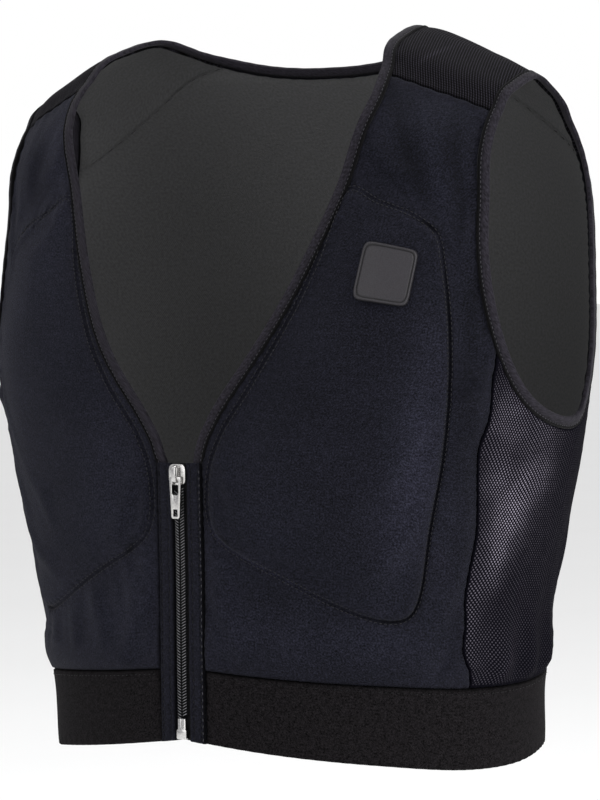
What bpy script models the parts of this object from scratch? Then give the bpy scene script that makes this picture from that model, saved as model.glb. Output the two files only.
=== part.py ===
"""Equestrian body protector: a cropped, zip-front vest with foam chest pads, in metres, +Z up.

The vest's front faces -Y and the wearer's left is +X. The origin lies midway between the shoulders, at the
height where the yokes sit on them. Every soft piece is a wall on one body form. A place on the form is a
girth angle (0 at the centre front, 90 at the wearer's left side, 180 at the centre back) and a level (0 at
the hem, 1 on the shoulder line, and above 1 down the other half of the form).
"""
import math

import bmesh
import bpy
import numpy as np
from mathutils import Matrix, Vector

# Overall sizes
SHOULDER_HEIGHT = 0.397  # hem to the neck end of the shoulder line
CHEST_WIDTH = 0.364
FRONT_DEPTH = 0.111  # centre line of the body to the centre front
BACK_DEPTH = 0.102
NECK_HALF_WIDTH = 0.097  # where the shoulders start to slope down
SEAT_DROP = 0.011  # shoulder seat below the neck end of the shoulder line

# Cloth
FABRIC_WALL = 0.0020
MESH_WALL = 0.0018
HEM_WALL = 0.0022
HEM_WIDTH = 0.0425
BINDING_WIDTH = 0.0058
BINDING_WALL = 0.0028
BINDING_RISE = 0.0004  # binding's outer face over the plain form
BINDING_EDGE = 0.55  # wall at the binding's edges as a share of the full wall
SEAM_GAP = 0.0004  # between neighbouring pieces

# Chest pads
PAD_RISE = 0.0065  # how far a pad raises the panel over it
PAD_EDGE = 0.013  # width of the slope round the pad
PAD_BACK = 0.0030  # foam behind the plain form
PAD_CLEARANCE = 0.0010  # foam behind the panel's inner face
PAD_FILL_SHARE = 0.85  # foam's own rise as a share of the panel's
PAD_INSET_SHARE = 0.05

# Zip
CHAIN_WIDTH = 0.0066
CHAIN_THICKNESS = 0.0025
FACING_INNER = 0.0047  # centre front to the facing's inner edge
FACING_WIDTH = 0.0098
FACING_WALL = 0.0019
TAPE_WIDTH = 0.0110
FACING_RISE = 0.0004  # facing's outer face over the plain form
TAPE_WALL = 0.0008
SLIDER_WIDTH = 0.0106
SLIDER_LENGTH = 0.0112
SLIDER_PLATE = 0.0012
SLIDER_CORNER = 0.0028
SLIDER_RISE = 0.0016  # slider's front face over the plain form
SLIDER_DROP = 0.0005  # slider's top below the neck end of the zip
WEDGE_SHARE = 0.4  # wedge's width as a share of the slider's
WEDGE_LENGTH = 0.0044
BRIDGE_WIDTH = 0.0024
BRIDGE_LENGTH = 0.0094
BRIDGE_RISE = 0.0034  # bridge over the slider's front plate
BRIDGE_STOCK = 0.0011
BRIDGE_INSET = 0.0006  # bridge's upper end below the slider's top
BRIDGE_CORNER = 0.0020
BRIDGE_HOLE_CORNER = 0.0008
PULL_LENGTH = 0.0225
PULL_TOP_WIDTH = 0.0076
PULL_END_WIDTH = 0.0052
PULL_STOCK = 0.0013
PULL_CORNER = 0.0010
PULL_SLOT_LENGTH = 0.0086
PULL_SLOT_WIDTH = 0.0042
PULL_SLOT_CORNER = 0.0012
PULL_WINDOW_WIDTH = 0.0028
PULL_WINDOW_LENGTH = 0.0038
PULL_WINDOW_INSET = 0.0012  # window's lower edge over the pull's end
PULL_FRONT_PLAY = 0.0003  # pull's top bar behind the bridge's outer strip
PULL_LOW_PLAY = 0.0009  # pull's top bar over the bridge's lower leg
BOX_WIDTH = 0.0062
BOX_LENGTH = 0.0054
BOX_PROUD = 0.0004  # box's front over the chain
BOX_CORNER = 0.0006
BOX_LIFT = 0.0003  # box's foot over the hem
PIN_SPREAD = 0.0047  # across both pins
PIN_LENGTH = 0.0060
PIN_INSET = 0.0003  # pins' faces inside the box's
PIN_GROOVE = 0.0006
PIN_GROOVE_DEPTH = 0.0009

# Badge
BADGE_WIDTH = 0.0290
BADGE_HEIGHT = 0.0316
BADGE_WALL = 0.0020
BADGE_RIM = 0.0007
BADGE_RIM_START = 0.7  # rim's inner edge as a share of the half width
BADGE_CORNER = 0.35  # how far the corners are drawn in
BADGE_GIRTH = 38.0
BADGE_LEVEL = 0.658
BADGE_TURN = -6.0

# Slices of the body form: the lengths are shares of the sizes above. The shoulder slope is a fall for each
# metre outwards from the neck.
SLICE_COLUMNS = ("level", "height", "width", "front", "back", "squareness", "slope")
SLICES = (
    (0.00, 0.000, 0.785, 1.000, 1.120, 2.15, 0.00),
    (0.10, 0.100, 0.797, 1.000, 1.060, 2.15, 0.00),
    (0.25, 0.252, 0.858, 0.995, 1.030, 2.20, 0.00),
    (0.42, 0.416, 0.946, 1.000, 1.020, 2.30, 0.00),
    (0.55, 0.547, 0.995, 1.000, 1.000, 2.35, 0.02),
    (0.68, 0.680, 1.000, 0.892, 0.990, 2.40, 0.10),
    (0.78, 0.776, 1.000, 0.802, 0.930, 2.40, 0.20),
    (0.88, 0.882, 1.000, 0.730, 0.706, 2.40, 0.38),
    (0.94, 0.942, 1.000, 0.550, 0.480, 2.40, 0.46),
    (0.98, 0.982, 1.000, 0.325, 0.275, 2.40, 0.48),
    (1.00, 1.000, 1.000, 0.000, 0.000, 2.40, 0.48),
)

# Rise of the hem round the body, as shares of the hem band's width
HEM_WAVE_COLUMNS = ("girth", "rise")
HEM_WAVE = (
    (0, 0.28), (22, 0.13), (45, 0.00), (70, -0.12), (90, -0.12), (115, 0.00), (150, 0.00), (180, 0.00),
)

# Seam round the neck, from the zip up the wearer's left and over the shoulder to the centre back
NECK_SEAM_COLUMNS = ("girth", "level", "joins")
NECK_SEAM = (
    (4.9, 0.410, "zip top"), (7.0, 0.456, ""), (11.5, 0.502, ""), (16.0, 0.550, ""), (19.7, 0.600, ""),
    (22.8, 0.650, ""), (26.3, 0.720, ""), (29.5, 0.800, ""), (32.3, 0.870, ""), (33.1, 0.905, ""),
    (32.9, 0.932, "front yoke"), (31.3, 0.972, ""), (27.6, 1.010, ""), (22.0, 1.036, "back yoke"),
    (15.0, 1.051, ""), (7.5, 1.057, ""), (0.0, 1.058, "centre back"),
)

# Seam round the wearer's left armhole, from the shoulder line down the front and up the back
ARMHOLE_COLUMNS = ("girth", "level", "joins")
ARMHOLE = (
    (55.0, 1.000, "shoulder"), (54.4, 0.972, ""), (54.0, 0.944, "front yoke"), (54.2, 0.885, ""),
    (54.5, 0.815, ""), (54.6, 0.750, ""), (55.7, 0.680, ""), (58.2, 0.615, ""), (61.8, 0.560, "front notch"),
    (66.5, 0.512, ""), (73.5, 0.477, ""), (82.0, 0.458, ""), (92.0, 0.448, ""), (100.0, 0.453, ""),
    (104.0, 0.474, ""), (106.2, 0.512, ""), (107.0, 0.560, "back notch"), (107.0, 0.640, ""),
    (107.4, 0.730, ""), (109.6, 0.820, ""), (114.5, 0.890, "back yoke"), (120.5, 0.950, ""),
    (125.0, 1.000, "shoulder"),
)

# Seams between the front, the mesh sides and the back, from the hem up to the armhole
SIDE_SEAM_COLUMNS = ("level", "front", "back")
SIDE_SEAM = (
    (0.107, 69.0, 117.0), (0.150, 66.2, 117.0), (0.200, 65.0, 116.8), (0.280, 64.2, 116.0),
    (0.360, 62.6, 114.0), (0.430, 61.3, 111.4), (0.500, 61.2, 108.6), (0.560, 61.8, 107.0),
)

# Outline of the wearer's left chest pad, round from its upper inner corner
PAD_OUTLINE_COLUMNS = ("girth", "level")
PAD_OUTLINE = (
    (28.5, 0.772), (35.0, 0.762), (41.5, 0.749), (46.2, 0.724), (48.2, 0.676), (50.4, 0.600), (51.8, 0.515),
    (52.4, 0.420), (52.3, 0.320), (52.6, 0.238), (50.6, 0.199), (44.4, 0.193), (34.9, 0.210), (23.3, 0.244),
    (11.0, 0.286), (6.8, 0.325), (6.4, 0.390), (9.0, 0.448), (15.0, 0.515), (20.5, 0.590), (24.8, 0.670),
)

# Soft folds: half length and half width as shares of the hem band's width, and height as one of the pad's rise
FOLD_COLUMNS = ("girth", "level", "length", "width", "height", "turn")
FOLDS = (
    (44.0, 0.850, 0.90, 0.16, 0.22, 86.0),
    (48.5, 0.845, 1.00, 0.16, 0.26, 92.0),
    (57.0, 0.535, 0.32, 0.10, 0.32, 8.0),
    (56.0, 0.495, 0.34, 0.10, 0.22, 12.0),
    (40.0, 0.155, 0.90, 0.12, 0.22, 2.0),
    (20.0, 0.200, 0.60, 0.14, 0.18, -14.0),
    (112.0, 0.270, 0.45, 0.16, 0.24, 70.0),
)
BLOUSE_RISE = 0.0038  # fabric over the top of the hem elastic
BLOUSE_LEVEL = 0.138
BLOUSE_SPREAD = 0.034
BLOUSE_REACH = 38.0
BLOUSE_LEAST = 0.35  # at the front and back, as a share of the sides
GATHER_RISE = 0.0022  # folds of the mesh sides above the hem
GATHER_PITCH = 13.0
GATHER_SPREAD = 0.075
GATHER_GIRTH = 92.0
GATHER_REACH = 26.0
GATHER_START = 0.02

# Grid counts
FRONT_GRID = (13, 24)
FRONT_NOTCH_ROW = 16
BACK_GRID = (24, 16)
BACK_NOTCH_ROW = 8
BACK_NECK_COLUMN = 8
MESH_GRID = (11, 16)
YOKE_GRID = (7, 10)
PAD_GRID = (8, 14)
HEM_GRID = (60, 2)
NECK_BINDING_GRID = (2, 58)
ARMHOLE_BINDING_GRID = (2, 44)
FACING_GRID = (2, 14)
TAPE_GRID = (2, 8)
CHAIN_GRID = (4, 10)
BADGE_GRID = (8, 8)

# Colours, roughness and metallic value
LOOKS = {
    "navy_fabric": ((0.013, 0.016, 0.025, 1), 0.75, 0.0),
    "rib_fabric": ((0.016, 0.015, 0.018, 1), 0.8, 0.0),
    "mesh_fabric": ((0.02, 0.018, 0.024, 1), 0.6, 0.0),
    "foam": ((0.03, 0.03, 0.033, 1), 0.9, 0.0),
    "elastic": ((0.012, 0.011, 0.011, 1), 0.85, 0.0),
    "binding": ((0.035, 0.033, 0.035, 1), 0.8, 0.0),
    "tape": ((0.008, 0.008, 0.010, 1), 0.8, 0.0),
    "coil": ((0.05, 0.05, 0.055, 1), 0.35, 0.0),
    "nickel": ((0.75, 0.75, 0.74, 1), 0.25, 1.0),
    "rubber": ((0.04, 0.038, 0.042, 1), 0.6, 0.0),
}

SEAT_HEIGHT = SHOULDER_HEIGHT - SEAT_DROP
HEM_LEVEL = HEM_WIDTH / SHOULDER_HEIGHT
GIRTH_LENGTH = math.pi * (CHEST_WIDTH + FRONT_DEPTH + BACK_DEPTH) / 2 / 360  # metres for each degree
FACING_OUTER = FACING_INNER + FACING_WIDTH


def table_column(rows, names, name):
    """One named column of a table, as an array."""
    return np.array([row[names.index(name)] for row in rows], float)


def smooth(knots, values, at):
    """A smooth curve through a table's values, by cubic pieces with central slopes."""
    at = np.clip(np.asarray(at, float), knots[0], knots[-1])
    slope = np.gradient(values, knots)
    i = np.clip(np.searchsorted(knots, at, side="right") - 1, 0, len(knots) - 2)
    step = knots[i + 1] - knots[i]
    s = (at - knots[i]) / step
    start = (2 * s**3 - 3 * s**2 + 1) * values[i] + (s**3 - 2 * s**2 + s) * step * slope[i]
    end = (3 * s**2 - 2 * s**3) * values[i + 1] + (s**3 - s**2) * step * slope[i + 1]
    return start + end


def slice_size(name, level):
    """One size of the form's slices at any level. The last slice closes smoothly over the shoulder line."""
    knots = table_column(SLICES, SLICE_COLUMNS, "level")
    values = table_column(SLICES, SLICE_COLUMNS, name)
    beyond = -values[-2] if name in ("front", "back") else values[-2]
    return smooth(np.append(knots, 2 - knots[-2]), np.append(values, beyond), level)


def form_point(girth, level):
    """Points on the plain body form, in half of which the level runs over the shoulder line."""
    girth, level = np.broadcast_arrays(np.asarray(girth, float), np.asarray(level, float))
    girth = np.where(level > 1, 180 - girth, girth)
    level = np.where(level > 1, 2 - level, level)
    angle = np.radians(girth)
    square = slice_size("squareness", level)
    reach = (np.abs(np.sin(angle))**square + np.abs(np.cos(angle))**square)**(-1 / square)
    x = CHEST_WIDTH / 2 * slice_size("width", level) * reach * np.sin(angle)
    front = FRONT_DEPTH * slice_size("front", level)
    back = BACK_DEPTH * slice_size("back", level)
    y = -np.where(np.cos(angle) > 0, front, back) * reach * np.cos(angle)
    out = np.abs(x) - NECK_HALF_WIDTH
    shoulder = (out + np.sqrt(out**2 + (NECK_HALF_WIDTH / 8)**2)) / 2
    z = SHOULDER_HEIGHT * slice_size("height", level) - slice_size("slope", level) * shoulder
    wave_knots = table_column(HEM_WAVE, HEM_WAVE_COLUMNS, "girth")
    wave_rises = table_column(HEM_WAVE, HEM_WAVE_COLUMNS, "rise")
    round_body = np.abs((girth + 180) % 360 - 180)
    z = z + HEM_WIDTH * smooth(wave_knots, wave_rises, round_body) * np.clip(1 - level / 0.35, 0, 1)
    return np.stack([x, y, z - SEAT_HEIGHT], -1)


def form_normal(girth, level):
    """Unit normals that point out of the body form."""
    turn, step = 0.5, 0.004
    across = form_point(girth + turn, level) - form_point(girth - turn, level)
    up = form_point(girth, level + step) - form_point(girth, level - step)
    normal = np.cross(across, up)
    return normal / np.linalg.norm(normal, axis=-1, keepdims=True)


def girth_at(level, x):
    """The girth angle in the front half where a level reaches a sideways place."""
    square = slice_size("squareness", level)
    share = np.abs(x) / (CHEST_WIDTH / 2 * slice_size("width", level))
    return np.degrees(np.arctan2(share, (1 - share**square)**(1 / square))) * np.sign(x)


def flat_place(girth, level):
    """Girth and level as lengths on a flat plan of the form."""
    return np.stack([girth * GIRTH_LENGTH, level * SHOULDER_HEIGHT], -1)


def pad_depth(girth, level):
    """How far inside a chest pad's outline each place lies, in metres; outside it is negative."""
    corners = flat_place(
        table_column(PAD_OUTLINE, PAD_OUTLINE_COLUMNS, "girth"),
        table_column(PAD_OUTLINE, PAD_OUTLINE_COLUMNS, "level"))
    place = flat_place(np.abs(girth), level)
    nearest = np.full(place.shape[:-1], np.inf)
    inside = np.zeros(place.shape[:-1], bool)
    for start, end in zip(corners, np.roll(corners, -1, axis=0)):
        side = end - start
        share = np.clip(((place - start) @ side) / (side @ side), 0, 1)
        nearest = np.minimum(nearest, np.linalg.norm(place - start - share[..., None] * side, axis=-1))
        crosses = (start[1] > place[..., 1]) != (end[1] > place[..., 1])
        height = np.where(crosses, side[1], 1.0)
        inside ^= crosses & (place[..., 0] < start[0] + (place[..., 1] - start[1]) * side[0] / height)
    return np.where(inside, nearest, -nearest)


def pad_lift(girth, level):
    """The rounded rise of a front panel over its chest pad."""
    share = np.clip(pad_depth(girth, level) / PAD_EDGE, 0, 1)
    return PAD_RISE * np.sin(share * math.pi / 2)**1.5


def relief(girth, level):
    """Rise of the cloth off the plain form: chest pads, soft folds, the blouse over the hem and the gathers."""
    side = np.abs((girth + 180) % 360 - 180)
    rise = pad_lift(side, level)
    for girth_0, level_0, length, width, height, turn in FOLDS:
        off = flat_place(side - girth_0, level - level_0) / HEM_WIDTH
        c, s = math.cos(math.radians(turn)), math.sin(math.radians(turn))
        along = (off[..., 0] * c + off[..., 1] * s) / length
        over = (off[..., 1] * c - off[..., 0] * s) / width
        rise = rise + PAD_RISE * height * np.exp(-along**2 - over**2)
    sides = BLOUSE_LEAST + (1 - BLOUSE_LEAST) * np.exp(-((side - GATHER_GIRTH) / BLOUSE_REACH)**2)
    above_hem = (level - BLOUSE_LEVEL) / BLOUSE_SPREAD
    rise = rise + BLOUSE_RISE * sides * np.exp(-above_hem**2)
    reach = np.exp(-((side - GATHER_GIRTH) / GATHER_REACH)**4)
    fade = np.exp(-((level - HEM_LEVEL) / GATHER_SPREAD)**2)
    gathers = np.cos(2 * math.pi * (side - GATHER_GIRTH) / GATHER_PITCH)
    start = np.clip((level - HEM_LEVEL) / GATHER_START, 0, 1)
    return rise + GATHER_RISE * reach * fade * gathers * start


def on_form(girth, level, lift):
    """Points at a height over the plain form."""
    return form_point(girth, level) + form_normal(girth, level) * np.asarray(lift)[..., None]


def seam_track(rows, names):
    """A seam's girth and level along its rows, as a function of the row number."""
    number = np.arange(len(rows), dtype=float)
    girth = table_column(rows, names, "girth")
    level = table_column(rows, names, "level")
    return lambda at: (smooth(number, girth, at), smooth(number, level, at))


def seam_row(rows, joins):
    """The number of the first row of a seam that joins the named piece."""
    return [row[-1] for row in rows].index(joins)


neck_track = seam_track(NECK_SEAM, NECK_SEAM_COLUMNS)
armhole_track = seam_track(ARMHOLE, ARMHOLE_COLUMNS)


def girth_on(track, first, last, level):
    """The girth at each level on a stretch of a seam that only rises or only falls."""
    girth, levels = track(np.linspace(first, last, 200))
    order = np.argsort(levels)
    return np.interp(level, levels[order], girth[order])


def neck_girth(level):
    """The front opening's edge: the facing's seam beside the zip, and the neck seam over it."""
    top = seam_row(NECK_SEAM, "front yoke")
    seam = girth_on(neck_track, 0, top, level)
    beside_zip = girth_at(np.minimum(level, 0.6), FACING_OUTER)
    return np.where(level < NECK_SEAM[0][1], beside_zip, np.maximum(seam, beside_zip))


def side_girth(level, half):
    """The front or back edge of a mesh side, and of the armhole over it."""
    level = np.asarray(level, float)
    knots = table_column(SIDE_SEAM, SIDE_SEAM_COLUMNS, "level")
    seam = smooth(knots, table_column(SIDE_SEAM, SIDE_SEAM_COLUMNS, half), level)
    notch = seam_row(ARMHOLE, half + " notch")
    yoke = seam_row(ARMHOLE, half + " yoke")
    armhole = girth_on(armhole_track, min(notch, yoke), max(notch, yoke), level)
    return np.where(level < ARMHOLE[notch][1], seam, armhole)


def coons(bottom, top, left, right):
    """A patch between four curves of girth and level, as a function of shares across and up."""
    def at(across, up):
        ends = [np.stack(np.broadcast_arrays(*curve(share)), -1)
                for curve, share in ((bottom, across), (top, across), (left, up), (right, up))]
        corners = [np.stack(np.broadcast_arrays(*curve(share)), -1)
                   for curve, share in ((bottom, 0.0), (bottom, 1.0), (top, 0.0), (top, 1.0))]
        u, w = across[..., None], up[..., None]
        straight = (1 - w) * ends[0] + w * ends[1] + (1 - u) * ends[2] + u * ends[3]
        plain = (1 - u) * (1 - w) * corners[0] + u * (1 - w) * corners[1]
        plain = plain + (1 - u) * w * corners[2] + u * w * corners[3]
        both = straight - plain
        return both[..., 0], both[..., 1]
    return at


def inset(patch):
    """The same patch, drawn in by half a seam gap on each side."""
    def at(across, up):
        zero, one = np.zeros_like(across), np.ones_like(across)
        width = np.linalg.norm(flat_place(*patch(one, up)) - flat_place(*patch(zero, up)), axis=-1)
        height = np.linalg.norm(flat_place(*patch(across, one)) - flat_place(*patch(across, zero)), axis=-1)
        edge_u, edge_w = SEAM_GAP / 2 / width, SEAM_GAP / 2 / height
        return patch(edge_u + (1 - 2 * edge_u) * across, edge_w + (1 - 2 * edge_w) * up)
    return at


def new_object(name, bm, look):
    """A named object with its own material, in the vest's collection."""
    mesh = bpy.data.meshes.new(name)
    bm.to_mesh(mesh)
    bm.free()
    mesh.shade_smooth()
    mesh.set_sharp_from_angle(angle=math.radians(40))
    colour, roughness, metallic = LOOKS[look]
    material = bpy.data.materials.new(name)
    material.use_nodes = True
    shader = material.node_tree.nodes["Principled BSDF"]
    shader.inputs["Base Color"].default_value = colour
    shader.inputs["Roughness"].default_value = roughness
    shader.inputs["Metallic"].default_value = metallic
    mesh.materials.append(material)
    piece = bpy.data.objects.new(name, mesh)
    bpy.data.collections["body_protector"].objects.link(piece)
    return piece


def shell_mesh(grid, outer, inner, closed=False):
    """A closed wall between an outer and an inner surface, each a function of shares across and up."""
    bm = bmesh.new()
    bmesh.ops.create_grid(bm, x_segments=grid[0], y_segments=grid[1], size=0.5)
    across = bm.verts.layers.float.new("across")
    up = bm.verts.layers.float.new("up")
    for vert in bm.verts:
        vert[across] = vert.co.x + 0.5
        vert[up] = vert.co.y + 0.5
    outside = set(bm.verts)
    bmesh.ops.solidify(bm, geom=bm.faces[:], thickness=0.01)
    inside = [vert for vert in bm.verts if vert not in outside]
    for verts, surface in ((list(outside), outer), (inside, inner)):
        shares = np.array([(vert[across], vert[up]) for vert in verts])
        for vert, place in zip(verts, surface(shares[:, 0], shares[:, 1])):
            vert.co = Vector(place)
    if closed:
        ends = [face for face in bm.faces
                if all(vert[up] < 1e-6 for vert in face.verts) or all(vert[up] > 1 - 1e-6 for vert in face.verts)]
        bmesh.ops.delete(bm, geom=ends, context="FACES_ONLY")
        rim = [vert for vert in bm.verts if vert[up] < 1e-6 or vert[up] > 1 - 1e-6]
        bmesh.ops.remove_doubles(bm, verts=rim, dist=0.00005)
    return bm


def mirrored(bm):
    """The same mesh for the wearer's right."""
    twin = bm.copy()
    bmesh.ops.transform(twin, matrix=Matrix.Scale(-1, 4, (1, 0, 0)), verts=twin.verts[:])
    bmesh.ops.reverse_faces(twin, faces=twin.faces[:])
    return twin


def pair(name, bm, look):
    """A piece for the wearer's left and its twin for the right."""
    twin = mirrored(bm)
    return new_object(name + "_left", bm, look), new_object(name + "_right", twin, look)


def cloth_wall(patch, grid, wall, closed=False):
    """A cloth piece: a patch of the form with its relief, and a wall inwards."""
    edge = inset(patch)

    def outer(across, up):
        girth, level = edge(across, up)
        return on_form(girth, level, relief(girth, level))

    def inner(across, up):
        girth, level = edge(across, up)
        return on_form(girth, level, relief(girth, level) - wall)
    return shell_mesh(grid, outer, inner, closed)


def rows_to_level(up, notch_share, bottom, notch, top):
    """Levels of the rows, with one row exactly at the armhole's notch."""
    return np.interp(up, [0, notch_share, 1], [bottom, notch, top])


def make_front_panels():
    notch = ARMHOLE[seam_row(ARMHOLE, "front notch")][1]
    neck_top = NECK_SEAM[seam_row(NECK_SEAM, "front yoke")][1]
    arm_top = ARMHOLE[seam_row(ARMHOLE, "front yoke")][1]
    share = FRONT_NOTCH_ROW / FRONT_GRID[1]

    def patch(across, up):
        neck_level = rows_to_level(up, share, HEM_LEVEL, notch, neck_top)
        arm_level = rows_to_level(up, share, HEM_LEVEL, notch, arm_top)
        inner, outer = neck_girth(neck_level), side_girth(arm_level, "front")
        return inner + (outer - inner) * across, neck_level + (arm_level - neck_level) * across
    pair("front_panel", cloth_wall(patch, FRONT_GRID, FABRIC_WALL), "navy_fabric")


def make_chest_pads():
    """Foam behind each front panel: its outer face follows the panel's inner one."""
    def corner(number):
        return PAD_OUTLINE[number % len(PAD_OUTLINE)]
    number = np.arange(len(PAD_OUTLINE) + 1, dtype=float)
    girth = np.array([corner(int(k))[0] for k in number])
    level = np.array([corner(int(k))[1] for k in number])

    def stretch(first, last):
        return lambda share: (np.interp(first + (last - first) * share, number, girth),
                              np.interp(first + (last - first) * share, number, level))
    upper_outer, lower_outer, lower_inner, count = 3, 10, 15, len(PAD_OUTLINE)
    patch = coons(stretch(lower_inner, lower_outer), stretch(0, upper_outer),
                  stretch(lower_inner, count), stretch(lower_outer, upper_outer))

    def at_edge(across, up):
        edge = PAD_INSET_SHARE
        return patch(edge + (1 - 2 * edge) * across, edge / 2 + (1 - edge) * up)

    def outer(across, up):
        g, lev = at_edge(across, up)
        return on_form(g, lev, pad_lift(g, lev) * PAD_FILL_SHARE - FABRIC_WALL - PAD_CLEARANCE)

    def inner(across, up):
        g, lev = at_edge(across, up)
        return on_form(g, lev, np.full_like(g, -FABRIC_WALL - PAD_CLEARANCE - PAD_BACK))
    pair("chest_pad", shell_mesh(PAD_GRID, outer, inner), "foam")


def back_yoke_seam(share):
    """The yoke's back seam, from the neck to the armhole, with levels over the shoulder line."""
    neck = NECK_SEAM[seam_row(NECK_SEAM, "back yoke")]
    arm = ARMHOLE[seam_row(ARMHOLE, "back yoke")]
    return (neck[0] + (180 - arm[0] - neck[0]) * share, neck[1] + (2 - arm[1] - neck[1]) * share)


def make_back_panel():
    notch = ARMHOLE[seam_row(ARMHOLE, "back notch")][1]
    arm_top = ARMHOLE[seam_row(ARMHOLE, "back yoke")]
    row = seam_row(NECK_SEAM, "back yoke")
    neck_end = NECK_SEAM[row]
    share = BACK_NOTCH_ROW / BACK_GRID[1]
    neck_columns = [0, BACK_NECK_COLUMN / BACK_GRID[0], 1 - BACK_NECK_COLUMN / BACK_GRID[0], 1]

    def column_girth(across, edge):
        """Girths across the back from an edge, with a column at each neck end of the yoke seams."""
        inner = 180 - neck_end[0]
        outer_part = edge + (inner - edge) * across / neck_columns[1]
        middle_part = np.interp(across, neck_columns[1:3], [inner, 360 - inner])
        other_part = 360 - edge - (inner - edge) * (1 - across) / neck_columns[1]
        return np.where(across < neck_columns[1], outer_part,
                        np.where(across > neck_columns[2], other_part, middle_part))

    def top_level(girth):
        """The top edge: the yoke seams, and the neck seam between them."""
        side = 180 - np.abs(180 - girth)
        along = (180 - side - neck_end[0]) / (180 - arm_top[0] - neck_end[0])
        neck_girths, neck_levels = neck_track(np.linspace(row, len(NECK_SEAM) - 1, 100))
        neck = 2 - np.interp(180 - side, neck_girths[::-1], neck_levels[::-1])
        yoke = 2 - back_yoke_seam(along)[1]
        return np.where(along > 0, yoke, neck)

    def patch(across, up):
        edge_level = rows_to_level(up, share, HEM_LEVEL, notch, arm_top[1])
        edge = side_girth(edge_level, "back")
        top = top_level(column_girth(across, arm_top[0]))
        climb = (edge_level - HEM_LEVEL) / (arm_top[1] - HEM_LEVEL)
        return column_girth(across, edge), HEM_LEVEL + (top - HEM_LEVEL) * climb
    new_object("back_panel", cloth_wall(patch, BACK_GRID, FABRIC_WALL), "navy_fabric")


def make_side_meshes():
    front_row = seam_row(ARMHOLE, "front notch")
    back_row = seam_row(ARMHOLE, "back notch")
    notch = ARMHOLE[front_row][1]

    def seam(half):
        def at(share):
            level = HEM_LEVEL + (notch - HEM_LEVEL) * np.asarray(share, float)
            return side_girth(np.minimum(level, notch - 1e-6), half), level
        return at

    def hem(share):
        start, end = seam("front")(0.0)[0], seam("back")(0.0)[0]
        return start + (end - start) * share, HEM_LEVEL

    def under_arm(share):
        return armhole_track(front_row + (back_row - front_row) * share)
    patch = coons(hem, under_arm, seam("front"), seam("back"))
    pair("side_mesh", cloth_wall(patch, MESH_GRID, MESH_WALL), "mesh_fabric")


def make_shoulder_yokes():
    neck_front = seam_row(NECK_SEAM, "front yoke")
    neck_back = seam_row(NECK_SEAM, "back yoke")
    arm_front = seam_row(ARMHOLE, "front yoke")
    arm_back = seam_row(ARMHOLE, "back yoke")
    last = len(ARMHOLE) - 1

    def front_seam(share):
        start, end = NECK_SEAM[neck_front], ARMHOLE[arm_front]
        return start[0] + (end[0] - start[0]) * share, start[1] + (end[1] - start[1]) * share

    def neck_edge(share):
        return neck_track(neck_front + (neck_back - neck_front) * share)

    def arm_edge(share):
        """Up the front of the armhole to the shoulder line, then down its back."""
        share = np.asarray(share, float)
        climb = arm_front / (arm_front + last - arm_back)
        front_girth, front_level = armhole_track(arm_front * (1 - share / climb))
        back_girth, back_level = armhole_track(last - (last - arm_back) * (share - climb) / (1 - climb))
        before = share < climb
        return np.where(before, front_girth, 180 - back_girth), np.where(before, front_level, 2 - back_level)
    patch = coons(front_seam, back_yoke_seam, neck_edge, arm_edge)
    pair("shoulder_yoke", cloth_wall(patch, YOKE_GRID, FABRIC_WALL), "rib_fabric")


def make_hem_band():
    def patch(across, up):
        level = HEM_LEVEL * up
        start = girth_at(level, FACING_OUTER)
        return start + (360 - 2 * start) * across, level
    new_object("hem_band", cloth_wall(patch, HEM_GRID, HEM_WALL), "elastic")


def strip_along(girth, level, grid, closed):
    """A folded binding along a seam given by its places, on the seam's opening side."""
    rows = grid[1]
    line = form_point(girth, level)
    steps = np.linalg.norm(np.diff(line, axis=0), axis=1)
    along = np.concatenate([[0], np.cumsum(steps)]) / steps.sum()
    number = np.arange(len(along))
    at = np.interp(np.linspace(0, 1, rows + 1), along, number)
    seam = np.stack([np.interp(at, number, line[:, k]) for k in range(3)], -1)
    normals = form_normal(girth, level)
    normal = np.stack([np.interp(at, number, normals[:, k]) for k in range(3)], -1)
    if closed:
        normal[-1] = normal[0] = (normal[-1] + normal[0]) / 2
        tangent = np.roll(seam[:-1], -1, axis=0) - np.roll(seam[:-1], 1, axis=0)
        tangent = np.vstack([tangent, tangent[:1]])
    else:
        tangent = np.gradient(seam, axis=0)
    sideways = np.cross(normal, tangent)
    sideways = sideways / np.linalg.norm(sideways, axis=1, keepdims=True)
    normal = np.cross(tangent, sideways)
    normal = normal / np.linalg.norm(normal, axis=1, keepdims=True)

    def surface(face):
        def at_share(across, up):
            row = np.rint(up * rows).astype(int)
            swell = (1 - (2 * across - 1)**2)**0.5
            half = BINDING_WALL / 2 * (BINDING_EDGE + (1 - BINDING_EDGE) * swell)
            lift = BINDING_RISE - BINDING_WALL / 2 + face * half
            reach = SEAM_GAP + BINDING_WIDTH * (1 - across)
            return seam[row] + sideways[row] * reach[:, None] + normal[row] * lift[:, None]
        return at_share
    return shell_mesh(grid, surface(1), surface(-1), closed)


def make_neck_binding():
    half = np.linspace(0, len(NECK_SEAM) - 1, 400)
    girth, level = neck_track(half)
    girth = np.concatenate([girth, -girth[-2::-1]])
    level = np.concatenate([level, level[-2::-1]])
    new_object("neck_binding", strip_along(girth, level, NECK_BINDING_GRID, False), "binding")


def make_armhole_bindings():
    girth, level = armhole_track(np.linspace(0, len(ARMHOLE) - 1, 800))
    pair("armhole_binding", strip_along(girth, level, ARMHOLE_BINDING_GRID, True), "binding")


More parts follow.
